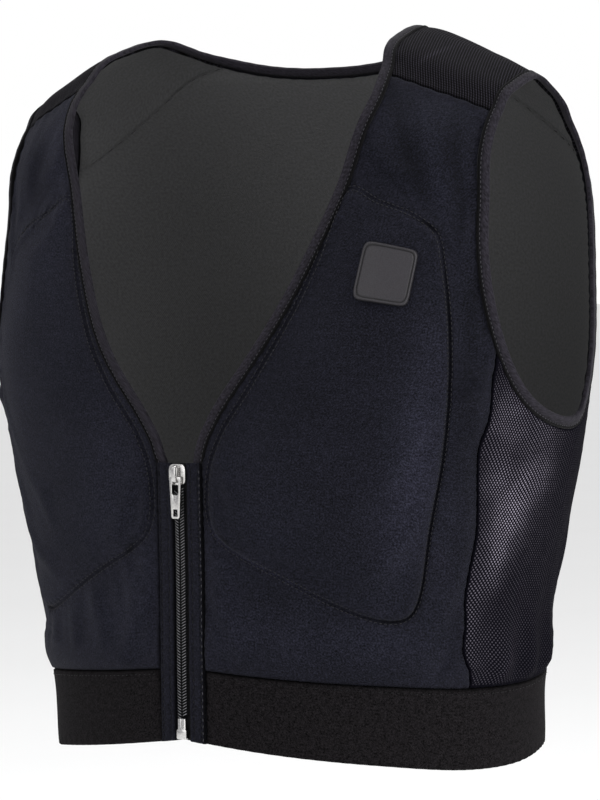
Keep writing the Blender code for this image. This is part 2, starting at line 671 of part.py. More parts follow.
def front_strip(start, end, low, high, top_lift, wall, grid):
    """An upright strip beside the centre front, from one sideways place to another."""
    def surface(drop):
        def at(across, up):
            level = low + (high - low) * up
            x = start + (end - start) * across
            return on_form(girth_at(level, x), level, np.full_like(level, top_lift - drop))
        return at
    return shell_mesh(grid, surface(0.0), surface(wall))


def zip_top_level():
    """The lower end of the neck binding, where the facings stop."""
    return NECK_SEAM[0][1] - SEAM_GAP / SHOULDER_HEIGHT


def make_zip_facings():
    strip = front_strip(FACING_INNER, FACING_OUTER - SEAM_GAP, 0.0, zip_top_level(), FACING_RISE, FACING_WALL,
                        FACING_GRID)
    pair("zip_facing", strip, "navy_fabric")


def make_zip_tapes():
    lift = FACING_RISE - FACING_WALL - SEAM_GAP
    strip = front_strip(SEAM_GAP / 2, TAPE_WIDTH, 0.0, zip_top_level(), lift, TAPE_WALL, TAPE_GRID)
    pair("zip_tape", strip, "tape")


def box_mesh(low, high):
    """A plain block between two corners."""
    bm = bmesh.new()
    bmesh.ops.create_cube(bm, size=1.0)
    size = [b - a for a, b in zip(low, high)]
    middle = [(a + b) / 2 for a, b in zip(low, high)]
    bmesh.ops.scale(bm, vec=size, verts=bm.verts[:])
    bmesh.ops.translate(bm, vec=middle, verts=bm.verts[:])
    return bm


def bevelled(bm, width, segments, axis):
    """Rounds the edges that run along one axis."""
    edges = [edge for edge in bm.edges
             if abs((edge.verts[1].co - edge.verts[0].co).normalized()[axis]) > 0.999]
    bmesh.ops.bevel(bm, geom=edges, offset=width, segments=segments, affect="EDGES", profile=0.5, material=-1)
    return bm


def cut_or_join(piece, tool, operation):
    """Applies a Boolean with a helper object, which is then removed."""
    modifier = piece.modifiers.new(operation.lower(), "BOOLEAN")
    modifier.operation = operation
    modifier.object = tool
    modifier.solver = "EXACT"
    evaluated = piece.evaluated_get(bpy.context.evaluated_depsgraph_get())
    mesh = bpy.data.meshes.new_from_object(evaluated)
    piece.modifiers.clear()
    piece.data = mesh
    bpy.data.objects.remove(tool)


def helper(bm):
    """A bare object for a Boolean."""
    mesh = bpy.data.meshes.new("helper")
    bm.to_mesh(mesh)
    bm.free()
    piece = bpy.data.objects.new("helper", mesh)
    bpy.data.collections["cutters"].objects.link(piece)
    piece.hide_render = True
    piece.display_type = "WIRE"
    bpy.context.view_layer.update()
    return piece


def zip_places():
    """Heights and depths that the zip's hard pieces share."""
    level = zip_top_level()
    front = form_point(0.0, level)
    slider_top = float(front[2]) - SLIDER_DROP
    face = float(front[1])
    return {"face": face, "slider_top": slider_top, "slider_foot": slider_top - SLIDER_LENGTH,
            "chain_back": face + FACING_WALL}


def level_at_height(z):
    """The level whose centre front lies at a height."""
    levels = np.linspace(0, 0.6, 600)
    return float(np.interp(z, form_point(np.zeros(600), levels)[:, 2], levels))


def box_top():
    """The height of the zip box's upper end."""
    return float(form_point(0.0, 0.0)[2]) + BOX_LENGTH + PIN_LENGTH


def make_zip_chain():
    places = zip_places()
    low = level_at_height(box_top() + SEAM_GAP)
    high = level_at_height(places["slider_foot"] - SEAM_GAP)
    front = FACING_RISE - FACING_WALL + CHAIN_THICKNESS
    strip = front_strip(-CHAIN_WIDTH / 2, CHAIN_WIDTH / 2, low, high, front, CHAIN_THICKNESS, CHAIN_GRID)
    new_object("zip_chain", strip, "coil")


def make_zip_slider():
    """A front and a back plate joined by a wedge, with a bridge that holds the pull."""
    places = zip_places()
    face, top, foot = places["face"], places["slider_top"], places["slider_foot"]
    plate_front = face - SLIDER_RISE
    inside_plate = plate_front + SLIDER_PLATE / 2
    bridge_top = top - BRIDGE_INSET
    bridge_foot = bridge_top - BRIDGE_LENGTH
    bridge_front = plate_front - BRIDGE_RISE
    plate = box_mesh((-SLIDER_WIDTH / 2, plate_front, foot), (SLIDER_WIDTH / 2, plate_front + SLIDER_PLATE, top))
    slider = new_object("zip_slider", bevelled(plate, SLIDER_CORNER, 3, 1), "nickel")
    wedge = box_mesh((-SLIDER_WIDTH * WEDGE_SHARE / 2, inside_plate, bridge_top - WEDGE_LENGTH),
                     (SLIDER_WIDTH * WEDGE_SHARE / 2, places["chain_back"] - SEAM_GAP, bridge_top))
    cut_or_join(slider, helper(wedge), "UNION")
    bridge = box_mesh((-BRIDGE_WIDTH / 2, bridge_front, bridge_foot), (BRIDGE_WIDTH / 2, inside_plate, bridge_top))
    cut_or_join(slider, helper(bevelled(bridge, BRIDGE_CORNER, 3, 0)), "UNION")
    hole = box_mesh((-BRIDGE_WIDTH, bridge_front + BRIDGE_STOCK, bridge_foot + BRIDGE_STOCK),
                    (BRIDGE_WIDTH, plate_front - BRIDGE_STOCK / 10, bridge_top - BRIDGE_STOCK))
    cut_or_join(slider, helper(bevelled(hole, BRIDGE_HOLE_CORNER, 2, 0)), "DIFFERENCE")


def pull_axis():
    """The hinge axis: the middle of the pull's top bar, under the bridge's outer side."""
    places = zip_places()
    half = PULL_STOCK / 2
    y = places["face"] - SLIDER_RISE - BRIDGE_RISE + BRIDGE_STOCK + PULL_FRONT_PLAY + half
    z = places["slider_top"] - BRIDGE_INSET - BRIDGE_LENGTH + BRIDGE_STOCK + PULL_LOW_PLAY + half
    return y, z


def make_zip_pull():
    """A tapered tab that hangs from its top bar, slotted so that the bridge passes through it."""
    y, z = pull_axis()
    top = z + PULL_STOCK / 2
    tab = box_mesh((-PULL_TOP_WIDTH / 2, y - PULL_STOCK / 2, top - PULL_LENGTH),
                   (PULL_TOP_WIDTH / 2, y + PULL_STOCK / 2, top))
    for vert in tab.verts:
        if vert.co.z < z - PULL_LENGTH / 2:
            vert.co.x *= PULL_END_WIDTH / PULL_TOP_WIDTH
    pull = new_object("zip_pull", bevelled(tab, PULL_CORNER, 2, 1), "nickel")
    slot = box_mesh((-PULL_SLOT_WIDTH / 2, y - PULL_STOCK, top - PULL_STOCK - PULL_SLOT_LENGTH),
                    (PULL_SLOT_WIDTH / 2, y + PULL_STOCK, top - PULL_STOCK))
    cut_or_join(pull, helper(bevelled(slot, PULL_SLOT_CORNER, 2, 1)), "DIFFERENCE")
    window_foot = top - PULL_LENGTH + PULL_WINDOW_INSET
    window = box_mesh((-PULL_WINDOW_WIDTH / 2, y - PULL_STOCK, window_foot),
                      (PULL_WINDOW_WIDTH / 2, y + PULL_STOCK, window_foot + PULL_WINDOW_LENGTH))
    cut_or_join(pull, helper(window), "DIFFERENCE")
    origin = Vector((0, y, z))
    pull.data.transform(Matrix.Translation(-origin))
    pull.location = origin


def make_zip_box():
    """The box at the chain's lower end, with the two pins that stand in it."""
    places = zip_places()
    foot = float(form_point(0.0, 0.0)[2]) + BOX_LIFT
    back = places["chain_back"] - SEAM_GAP
    front = back - CHAIN_THICKNESS - BOX_PROUD
    body = box_mesh((-BOX_WIDTH / 2, front, foot), (BOX_WIDTH / 2, back, foot + BOX_LENGTH))
    box = new_object("zip_box", bevelled(body, BOX_CORNER, 1, 1), "nickel")
    pins = box_mesh((-PIN_SPREAD / 2, front + PIN_INSET, foot + BOX_LENGTH / 2),
                    (PIN_SPREAD / 2, back - PIN_INSET, foot + BOX_LENGTH + PIN_LENGTH - BOX_LIFT))
    cut_or_join(box, helper(pins), "UNION")
    groove = box_mesh((-PIN_GROOVE / 2, front - PIN_GROOVE_DEPTH, foot + BOX_LENGTH + PIN_GROOVE),
                      (PIN_GROOVE / 2, front + PIN_GROOVE_DEPTH, foot + BOX_LENGTH + PIN_LENGTH))
    cut_or_join(box, helper(groove), "DIFFERENCE")


def make_badge():
    """A soft rubber badge that lies on the wearer's left panel, with a raised rim round a bare face."""
    turn = math.radians(BADGE_TURN)

    def plan(across, up):
        """A rounded square: a square grid drawn in at its corners, then turned."""
        u, w = 2 * across - 1, 2 * up - 1
        drawn_in = np.sqrt(1 - BADGE_CORNER / 2 * u**2 * w**2)
        u, w = u * drawn_in, w * drawn_in
        x, z = u * BADGE_WIDTH / 2, w * BADGE_HEIGHT / 2
        return x * math.cos(turn) - z * math.sin(turn), x * math.sin(turn) + z * math.cos(turn)
    middle_girth, middle_level = np.array(BADGE_GIRTH), np.array(BADGE_LEVEL)
    side = form_point(middle_girth + 1, middle_level) - form_point(middle_girth - 1, middle_level)
    rise = form_point(middle_girth, middle_level + 0.01) - form_point(middle_girth, middle_level - 0.01)
    for_each_degree = float(np.linalg.norm(side)) / 2
    for_each_level = float(np.linalg.norm(rise)) / 0.02

    def surface(face):
        def at(across, up):
            x, z = plan(across, up)
            girth, level = BADGE_GIRTH + x / for_each_degree, BADGE_LEVEL + z / for_each_level
            edge = np.maximum(np.abs(2 * across - 1), np.abs(2 * up - 1))
            rim = BADGE_RIM * ((edge > BADGE_RIM_START) & (edge < 0.99))
            lift = SEAM_GAP + face * (BADGE_WALL + rim)
            return on_form(girth, level, relief(girth, level) + lift)
        return at
    new_object("badge", shell_mesh(BADGE_GRID, surface(1), surface(0)), "rubber")


def main():
    for old in list(bpy.data.objects):
        bpy.data.objects.remove(old)
    for name in ("body_protector", "cutters"):
        if name not in bpy.data.collections:
            bpy.context.scene.collection.children.link(bpy.data.collections.new(name))
    make_front_panels()
    make_chest_pads()
    make_back_panel()
    make_side_meshes()
    make_shoulder_yokes()
    make_hem_band()
    make_neck_binding()
    make_armhole_bindings()
    make_zip_facings()
    make_zip_tapes()
    make_zip_chain()
    make_zip_slider()
    make_zip_pull()
    make_zip_box()
    make_badge()


main()
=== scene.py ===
"""Dressed model of a cropped riding vest: stretch panels over foam pads, ribbed yokes, mesh sides and a zip.

Metres, +Z up. The front faces -Y and the wearer's left is +X. A place on the body form is a girth angle (0
centre front, 90 the wearer's left side, 180 centre back) and a level (0 hem, 1 shoulder line, above 1 down
the other half of the form).
"""
import math

import bmesh
import bpy
import numpy as np
from bpy.props import FloatProperty, FloatVectorProperty, IntProperty, PointerProperty
from mathutils import Matrix, Vector


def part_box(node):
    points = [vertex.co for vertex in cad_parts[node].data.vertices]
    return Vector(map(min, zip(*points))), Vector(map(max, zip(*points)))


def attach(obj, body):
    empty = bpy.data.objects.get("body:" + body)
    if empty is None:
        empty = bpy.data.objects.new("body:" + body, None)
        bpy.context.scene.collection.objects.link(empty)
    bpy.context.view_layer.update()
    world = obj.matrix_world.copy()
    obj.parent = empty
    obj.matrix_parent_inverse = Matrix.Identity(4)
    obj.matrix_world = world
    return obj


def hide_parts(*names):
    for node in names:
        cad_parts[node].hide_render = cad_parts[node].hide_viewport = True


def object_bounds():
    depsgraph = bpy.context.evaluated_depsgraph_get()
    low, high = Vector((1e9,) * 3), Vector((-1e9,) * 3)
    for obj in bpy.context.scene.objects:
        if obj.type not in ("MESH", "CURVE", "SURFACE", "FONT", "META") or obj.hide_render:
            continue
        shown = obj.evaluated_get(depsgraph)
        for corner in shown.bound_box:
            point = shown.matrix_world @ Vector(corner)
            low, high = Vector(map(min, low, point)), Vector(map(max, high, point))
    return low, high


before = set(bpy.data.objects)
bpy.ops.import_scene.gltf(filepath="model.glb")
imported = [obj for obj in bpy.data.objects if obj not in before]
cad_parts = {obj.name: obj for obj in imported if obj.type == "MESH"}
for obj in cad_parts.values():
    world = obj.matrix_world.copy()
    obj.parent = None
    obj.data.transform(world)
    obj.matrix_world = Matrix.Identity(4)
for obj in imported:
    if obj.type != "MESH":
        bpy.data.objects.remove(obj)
CAD_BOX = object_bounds()

bl_info = {
    "name": "Riding vest finish",
    "version": (1, 0, 0),
    "blender": (4, 5, 0),
    "location": "View3D > Sidebar > Vest",
    "description": "Makes the cloth, stitching, zip and stage of a cropped riding vest over its packed model",
    "category": "Mesh",
}

# Overall sizes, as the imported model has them
SHOULDER_HEIGHT = 0.397
CHEST_WIDTH = 0.364
FRONT_DEPTH = 0.111
BACK_DEPTH = 0.102
NECK_HALF_WIDTH = 0.097
SEAT_DROP = 0.011
HEM_WIDTH = 0.0425
SEAM_GAP = 0.0004
FACING_INNER = 0.0047
FACING_WIDTH = 0.0098
TAPE_WIDTH = 0.0110
CHAIN_WIDTH = 0.0066
PAD_RISE = 0.0065
PAD_SHOULDER = 0.0055  # width of the quick rise inside a pad's outline
PAD_DOME = 0.036  # width of the long soft rise
PAD_FILL = 0.78  # share of the cloth's rise that the foam fills
PAD_BACK = 0.0030
PAD_CLEARANCE = 0.0010
PAD_INSET_SHARE = 0.05
PAD_CAP = 0.0006  # most that puffing may move the foam
SEAT_HEIGHT = SHOULDER_HEIGHT - SEAT_DROP
HEM_LEVEL = HEM_WIDTH / SHOULDER_HEIGHT
GIRTH_LENGTH = math.pi * (CHEST_WIDTH + FRONT_DEPTH + BACK_DEPTH) / 2 / 360
FACING_OUTER = FACING_INNER + FACING_WIDTH

SLICE_COLUMNS = ("level", "height", "width", "front", "back", "squareness", "slope")
SLICES = (
    (0.00, 0.000, 0.785, 1.000, 1.120, 2.15, 0.00),
    (0.10, 0.100, 0.797, 1.000, 1.060, 2.15, 0.00),
    (0.25, 0.252, 0.858, 0.995, 1.030, 2.20, 0.00),
    (0.42, 0.416, 0.946, 1.000, 1.020, 2.30, 0.00),
    (0.55, 0.547, 0.995, 1.000, 1.000, 2.35, 0.02),
    (0.68, 0.680, 1.000, 0.892, 0.990, 2.40, 0.10),
    (0.78, 0.776, 1.000, 0.802, 0.930, 2.40, 0.20),
    (0.88, 0.882, 1.000, 0.730, 0.706, 2.40, 0.38),
    (0.94, 0.942, 1.000, 0.550, 0.480, 2.40, 0.46),
    (0.98, 0.982, 1.000, 0.325, 0.275, 2.40, 0.48),
    (1.00, 1.000, 1.000, 0.000, 0.000, 2.40, 0.48),
)
HEM_WAVE_COLUMNS = ("girth", "rise")
HEM_WAVE = (
    (0, 0.28), (22, 0.13), (45, 0.00), (70, -0.12), (90, -0.12), (115, 0.00), (150, 0.00), (180, 0.00),
)
NECK_SEAM_COLUMNS = ("girth", "level", "joins")
NECK_SEAM = (
    (4.9, 0.410, "zip top"), (7.0, 0.456, ""), (11.5, 0.502, ""), (16.0, 0.550, ""), (19.7, 0.600, ""),
    (22.8, 0.650, ""), (26.3, 0.720, ""), (29.5, 0.800, ""), (32.3, 0.870, ""), (33.1, 0.905, ""),
    (32.9, 0.932, "front yoke"), (31.3, 0.972, ""), (27.6, 1.010, ""), (22.0, 1.036, "back yoke"),
    (15.0, 1.051, ""), (7.5, 1.057, ""), (0.0, 1.058, "centre back"),
)
ARMHOLE_COLUMNS = ("girth", "level", "joins")
ARMHOLE = (
    (55.0, 1.000, "shoulder"), (54.4, 0.972, ""), (54.0, 0.944, "front yoke"), (54.2, 0.885, ""),
    (54.5, 0.815, ""), (54.6, 0.750, ""), (55.7, 0.680, ""), (58.2, 0.615, ""), (61.8, 0.560, "front notch"),
    (66.5, 0.512, ""), (73.5, 0.477, ""), (82.0, 0.458, ""), (92.0, 0.448, ""), (100.0, 0.453, ""),
    (104.0, 0.474, ""), (106.2, 0.512, ""), (107.0, 0.560, "back notch"), (107.0, 0.640, ""),
    (107.4, 0.730, ""), (109.6, 0.820, ""), (114.5, 0.890, "back yoke"), (120.5, 0.950, ""),
    (125.0, 1.000, "shoulder"),
)
SIDE_SEAM_COLUMNS = ("level", "front", "back")
SIDE_SEAM = (
    (0.107, 69.0, 117.0), (0.150, 66.2, 117.0), (0.200, 65.0, 116.8), (0.280, 64.2, 116.0),
    (0.360, 62.6, 114.0), (0.430, 61.3, 111.4), (0.500, 61.2, 108.6), (0.560, 61.8, 107.0),
)
PAD_OUTLINE_COLUMNS = ("girth", "level")
PAD_OUTLINE = (
    (28.5, 0.772), (35.0, 0.762), (41.5, 0.749), (46.2, 0.724), (48.2, 0.676), (50.4, 0.600), (51.8, 0.515),
    (52.4, 0.420), (52.3, 0.320), (52.6, 0.238), (50.6, 0.199), (44.4, 0.193), (34.9, 0.210), (23.3, 0.244),
    (11.0, 0.286), (6.8, 0.325), (6.4, 0.390), (9.0, 0.448), (15.0, 0.515), (20.5, 0.590), (24.8, 0.670),
)

SEAM_EASE = (-0.7, -0.35, 0.0, 0.35, 0.7)  # rows before and after each place that ease a seam's line
SEAM_WIGGLE_COLUMNS = ("level", "girth")
SEAM_WIGGLE = (
    (0.107, 0.0), (0.128, 0.3), (0.150, -0.6), (0.190, 0.2), (0.222, -0.5), (0.262, -0.2), (0.314, 0.5),
    (0.350, 0.0), (0.392, -0.7), (0.428, -0.8), (0.466, 0.9), (0.520, 0.2), (0.560, 0.0),
)

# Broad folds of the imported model, each with its girth, level, half length, half width, height and turn.
# The half length and half width are shares of the hem's width, the height is a share of the pad's rise.
FOLDS = (
    (44.0, 0.850, 0.90, 0.16, 0.22, 86.0),
    (48.5, 0.845, 1.00, 0.16, 0.26, 92.0),
    (57.0, 0.535, 0.32, 0.10, 0.32, 8.0),
    (56.0, 0.495, 0.34, 0.10, 0.22, 12.0),
    (40.0, 0.155, 0.90, 0.12, 0.22, 2.0),
    (20.0, 0.200, 0.60, 0.14, 0.18, -14.0),
    (112.0, 0.270, 0.45, 0.16, 0.24, 70.0),
)
BLOUSE_RISE = 0.0038
BLOUSE_LEVEL = 0.138
BLOUSE_SPREAD = 0.034
BLOUSE_REACH = 38.0
BLOUSE_LEAST = 0.35
GATHER_RISE = 0.0022
GATHER_PITCH = 13.0
GATHER_SPREAD = 0.075
GATHER_GIRTH = 92.0
GATHER_REACH = 26.0
GATHER_START = 0.02

# Painted light on the mesh: where its dots are painted brightest, each with its girth, level, reach round,
# reach up and amount
PAINTED_LIGHT_SPOTS = (
    (73.5, 0.335, 6.0, 0.045, 0.85), (80.0, 0.385, 7.0, 0.035, 0.45), (66.5, 0.385, 4.5, 0.030, 0.42),
    (67.0, 0.465, 7.0, 0.045, 0.42), (80.0, 0.450, 9.0, 0.035, 0.24), (71.5, 0.275, 3.6, 0.040, 0.50),
    (65.5, 0.210, 4.0, 0.080, 0.26), (74.0, 0.150, 9.0, 0.050, 0.10), (84.0, 0.300, 12.0, 0.120, 0.05),
)

# Painted light on the front over the pads (over 0) and painted shade in its folds (under 0).
# Each has its side (1 left, -1 right, 0 both), girth, level, half length, half width, amount and turn.
PAINTED_FRONT_LIGHT = (
    (1, 46.5, 0.440, 0.048, 0.0120, 0.95, 86.0),
    (1, 46.0, 0.320, 0.050, 0.0120, 0.62, 88.0),
    (1, 35.0, 0.165, 0.070, 0.0120, 0.40, -4.0),
    (1, 56.0, 0.300, 0.060, 0.0070, 0.35, 90.0),
    (1, 56.5, 0.450, 0.030, 0.0080, -0.40, 90.0),
    (1, 55.5, 0.620, 0.050, 0.0060, -0.30, 84.0),
    (1, 38.8, 0.850, 0.040, 0.0042, -0.38, -68.0),
    (1, 50.0, 0.810, 0.044, 0.0048, -0.42, -80.0),
    (1, 45.0, 0.820, 0.044, 0.0040, 0.34, -76.0),
    (1, 52.5, 0.740, 0.026, 0.0022, 0.34, -84.0),
    (1, 10.5, 0.296, 0.0060, 0.0013, -1.0, -50.0),
    (1, 44.3, 0.738, 0.0060, 0.0010, -0.9, -30.0),
    (-1, 12.5, 0.282, 0.0060, 0.0016, -1.0, -52.0),
    (-1, 37.5, 0.745, 0.0200, 0.0010, -0.8, -46.0),
    (-1, 33.0, 0.800, 0.070, 0.0110, 0.60, 80.0),
    (-1, 40.0, 0.620, 0.080, 0.0200, 0.20, 90.0),
    (-1, 28.0, 0.200, 0.060, 0.0160, 0.30, 0.0),
    (-1, 15.0, 0.400, 0.070, 0.0240, 0.42, 90.0),
    (1, 20.0, 0.350, 0.050, 0.0300, 0.14, 90.0),
    (0, 10.0, 0.200, 0.020, 0.0400, 0.24, 0.0),
)

# Fine creases, each with its side (1 left, -1 right, 0 both), girth, level, half length, half width,
# height and turn. The half length, the half width and the height are in metres.
CREASES = (
    (-1, 39.0, 0.741, 0.0170, 0.0009, -0.0011, -48.0),
    (1, 44.5, 0.733, 0.0060, 0.0010, -0.0012, -28.0),
    (0, 38.8, 0.850, 0.0360, 0.0042, -0.0005, -68.0),
    (0, 43.5, 0.835, 0.0360, 0.0042, 0.0005, -72.0),
    (0, 50.0, 0.810, 0.0360, 0.0042, -0.0006, -80.0),
    (0, 47.0, 0.805, 0.0360, 0.0036, 0.0005, -78.0),
    (0, 56.0, 0.520, 0.0090, 0.0016, -0.0014, 22.0),
    (0, 56.0, 0.500, 0.0090, 0.0022, 0.0010, 20.0),
    (0, 56.5, 0.455, 0.0070, 0.0016, -0.0009, 12.0),
    (0, 47.0, 0.160, 0.0240, 0.0020, -0.0008, 5.0),
    (0, 42.0, 0.180, 0.0240, 0.0026, 0.0009, 4.0),
    (0, 27.0, 0.172, 0.0260, 0.0024, -0.0008, -10.0),
    (0, 20.0, 0.215, 0.0200, 0.0030, -0.0006, -18.0),
    (0, 60.0, 0.135, 0.0060, 0.0016, -0.0009, 60.0),
)

# Bindings at their seams and their ends
BINDING_TUCK = 0.0009  # how far a binding lies over the cloth's turned edge
END_RUN = 0.0040
END_DROP = 0.0018
END_REACH = 0.0070

# Edges of the cloth at its seams
EDGE_TURN = 0.0012  # radius of the turned edge
EDGE_DIP = 0.0005
EDGE_REACH = 0.0042
EDGE_CROWDING = 0.6  # how much the grid closes up towards the edges
SHOW_GAP = 0.00006  # left between the turned edges of neighbouring pieces
PUCKER_PITCH = 0.0085
PUCKER_SHARE = 0.55
PAD_PUCKER = 0.00022
PAD_PUCKER_PITCH = 0.0055
REFINE_REACH = (0.0050, 0.0026)

# Rows of stitches: the distance from one stitch to the next
PITCHES = {"pad": 0.0027, "binding": 0.0025, "facing edge": 0.0036, "facing": 0.0039, "hem": 0.0034}
STITCH_PROUD = 0.12  # how far a stitch's middle is off the cloth, as a share of its width
ROW_OFF = 0.55  # share of the channel's width from a pad's outline to each of its rows
GROOVE_SHARE = 0.55  # share of the channel's width over which its shade fades

# The zip's coil
COIL_LEAN = 0.42  # fall of each tooth towards the middle
COIL_STEPS = 12  # for each turn
COIL_SIDES = 6
COIL_WIRE = 0.00036  # radius of the wire, before the squash
COIL_RADIUS = 0.00128  # from the coil's axis to the wire's middle, before the squash
COIL_SQUASH = (1.12, 0.52, 1.0)  # scale across, through and up
COIL_OFF = 0.00158  # from the zip's middle to the middle of one row
# Painted shade on each tooth, from its middle up and down
COIL_SHADE_REACH = 0.00030  # distance up or down from a tooth's middle at which it is all but black
BLACK = 1.17  # shade at which a colour is all but black

# Puffing of the foam pads
PUFF_PRESSURE = 3.0
PUFF_FRAMES = 10

# Camera, matched to the photo's view
VIEW_TURN = 34.0  # degrees from the front towards the wearer's left
VIEW_DISTANCE = 2.15
VIEW_SHIFT = 0.0037
VIEW_HEIGHT = 0.258 - SEAT_HEIGHT
VIEW_PITCH = 1.79
VIEW_ROLL = 0.9
VIEW_LENS = 172.8
VIEW_SENSOR = 36.0


class VestSizes(bpy.types.PropertyGroup):
    """Sizes of the vest's fine forms"""

    cloth_wall: FloatProperty(
        name="Cloth wall", description="Thickness of the lined stretch fabric", default=0.0020, unit="LENGTH")
    mesh_wall: FloatProperty(
        name="Mesh wall", description="Thickness of the mesh sides", default=0.0018, unit="LENGTH")
    hem_wall: FloatProperty(
        name="Hem wall", description="Thickness of the hem elastic", default=0.0022, unit="LENGTH")
    binding_width: FloatProperty(
        name="Binding width", description="Width of the folded binding", default=0.0058, unit="LENGTH")
    binding_wall: FloatProperty(
        name="Binding wall", description="Thickness of the folded binding", default=0.0028, unit="LENGTH")
    channel_width: FloatProperty(
        name="Channel width", description="Width of the sewn channel round a pad",
        default=0.0022, unit="LENGTH")
    channel_depth: FloatProperty(
        name="Channel depth", description="Depth of the sewn channel", default=0.0013, unit="LENGTH")
    settle_cap: FloatProperty(
        name="Settling cap", description="Most that settling may move the cloth",
        default=0.0016, unit="LENGTH")
    settle_frames: IntProperty(
        name="Settling frames", description="Frames of the cloth's settling", default=16)
    stitch_length: FloatProperty(
        name="Stitch length", description="Length of one stitch", default=0.0019, unit="LENGTH")
    stitch_width: FloatProperty(
        name="Thread width", description="Width of the thread", default=0.00055, unit="LENGTH")
    coil_pitch: FloatProperty(
        name="Coil pitch", description="Distance from one zip tooth to the next",
        default=0.00155, unit="LENGTH")
    edge_bevel: FloatProperty(
        name="Metal edge", description="Rounding of the metal pieces' edges", default=0.00016, unit="LENGTH")


class VestColours(bpy.types.PropertyGroup):
    """Colours of the vest's finishes"""

    navy: FloatVectorProperty(
        name="Navy", description="Stretch fabric",
        subtype="COLOR", size=3, default=(0.0071, 0.0072, 0.0116))
    lining: FloatVectorProperty(
        name="Lining", description="Inside of the cloth",
        subtype="COLOR", size=3, default=(0.073, 0.073, 0.074))
    rib: FloatVectorProperty(
        name="Rib", description="Yokes' ribbed knit",
        subtype="COLOR", size=3, default=(0.0062, 0.0056, 0.0078))
    mesh: FloatVectorProperty(
        name="Mesh", description="Mesh sides' yarn",
        subtype="COLOR", size=3, default=(0.0026, 0.0024, 0.0044))
    # The mesh dots' colour is a painted highlight on the knit round the holes, shown where the mesh's painted
    # light allows
    dots: FloatVectorProperty(
        name="Mesh dots", description="Bright dots of the mesh",
        subtype="COLOR", size=3, default=(0.34, 0.31, 0.38))
    elastic: FloatVectorProperty(
        name="Elastic", description="Hem elastic",
        subtype="COLOR", size=3, default=(0.0078, 0.0068, 0.0076))
    binding: FloatVectorProperty(
        name="Binding", description="Folded binding",
        subtype="COLOR", size=3, default=(0.0125, 0.0112, 0.0150))
    tape: FloatVectorProperty(
        name="Tape", description="Zip tape",
        subtype="COLOR", size=3, default=(0.006, 0.006, 0.007))
    thread: FloatVectorProperty(
        name="Thread", description="Dark thread",
        subtype="COLOR", size=3, default=(0.014, 0.0135, 0.016))
    coil: FloatVectorProperty(
        name="Coil", description="Zip coil",
        subtype="COLOR", size=3, default=(0.40, 0.40, 0.42))
    nickel: FloatVectorProperty(
        name="Nickel", description="Slider, pull and box",
        subtype="COLOR", size=3, default=(0.62, 0.61, 0.60))
    rubber: FloatVectorProperty(
        name="Rubber", description="Badge",
        subtype="COLOR", size=3, default=(0.026, 0.024, 0.028))
    floor: FloatVectorProperty(
        name="Floor", description="Pale floor",
        subtype="COLOR", size=3, default=(0.93, 0.93, 0.93))


class VestStage(bpy.types.PropertyGroup):
    """Floor and lights"""

    floor_drop: FloatProperty(
        name="Floor drop", description="Floor below the hem", default=0.20, unit="LENGTH")
    floor_radius: FloatProperty(
        name="Floor radius", description="Radius of the floor", default=60.0, unit="LENGTH")
    sky: FloatProperty(name="Sky", description="Strength of the soft light all round", default=0.85, min=0.0)
    key: FloatProperty(
        name="Key light", description="Power of the main soft light", default=46.0, unit="POWER")
    fill: FloatProperty(name="Fill light", description="Power of the fill light", default=10.0, unit="POWER")
    top: FloatProperty(name="Top light", description="Power of the light above", default=18.0, unit="POWER")


# The body form


def table_column(rows, names, name):
    """One named column of a table, as an array."""
    return np.array([row[names.index(name)] for row in rows], float)


def smooth(knots, values, at):
    """A smooth curve through a table's values, by cubic pieces with central slopes."""
    at = np.clip(np.asarray(at, float), knots[0], knots[-1])
    slope = np.gradient(values, knots)
    i = np.clip(np.searchsorted(knots, at, side="right") - 1, 0, len(knots) - 2)
    step = knots[i + 1] - knots[i]
    s = (at - knots[i]) / step
    start = (2 * s**3 - 3 * s**2 + 1) * values[i] + (s**3 - 2 * s**2 + s) * step * slope[i]
    end = (3 * s**2 - 2 * s**3) * values[i + 1] + (s**3 - s**2) * step * slope[i + 1]
    return start + end


def slice_size(name, level):
    """One size of the form's slices at any level."""
    knots = table_column(SLICES, SLICE_COLUMNS, "level")
    values = table_column(SLICES, SLICE_COLUMNS, name)
    beyond = -values[-2] if name in ("front", "back") else values[-2]
    return smooth(np.append(knots, 2 - knots[-2]), np.append(values, beyond), level)


def form_point(girth, level):
    """Points on the plain body form."""
    girth, level = np.broadcast_arrays(np.asarray(girth, float), np.asarray(level, float))
    girth = np.where(level > 1, 180 - girth, girth)
    level = np.where(level > 1, 2 - level, level)
    angle = np.radians(girth)
    square = slice_size("squareness", level)
    reach = (np.abs(np.sin(angle))**square + np.abs(np.cos(angle))**square)**(-1 / square)
    x = CHEST_WIDTH / 2 * slice_size("width", level) * reach * np.sin(angle)
    front = FRONT_DEPTH * slice_size("front", level)
    back = BACK_DEPTH * slice_size("back", level)
    y = -np.where(np.cos(angle) > 0, front, back) * reach * np.cos(angle)
    out = np.abs(x) - NECK_HALF_WIDTH
    shoulder = (out + np.sqrt(out**2 + (NECK_HALF_WIDTH / 8)**2)) / 2
    z = SHOULDER_HEIGHT * slice_size("height", level) - slice_size("slope", level) * shoulder
    wave_knots = table_column(HEM_WAVE, HEM_WAVE_COLUMNS, "girth")
    wave_rises = table_column(HEM_WAVE, HEM_WAVE_COLUMNS, "rise")
    round_body = np.abs((girth + 180) % 360 - 180)
    z = z + HEM_WIDTH * smooth(wave_knots, wave_rises, round_body) * np.clip(1 - level / 0.35, 0, 1)
    return np.stack([x, y, z - SEAT_HEIGHT], -1)


def form_normal(girth, level):
    """Unit normals that point out of the body form."""
    turn, step = 0.5, 0.004
    across = form_point(girth + turn, level) - form_point(girth - turn, level)
    up = form_point(girth, level + step) - form_point(girth, level - step)
    normal = np.cross(across, up)
    return normal / np.linalg.norm(normal, axis=-1, keepdims=True)


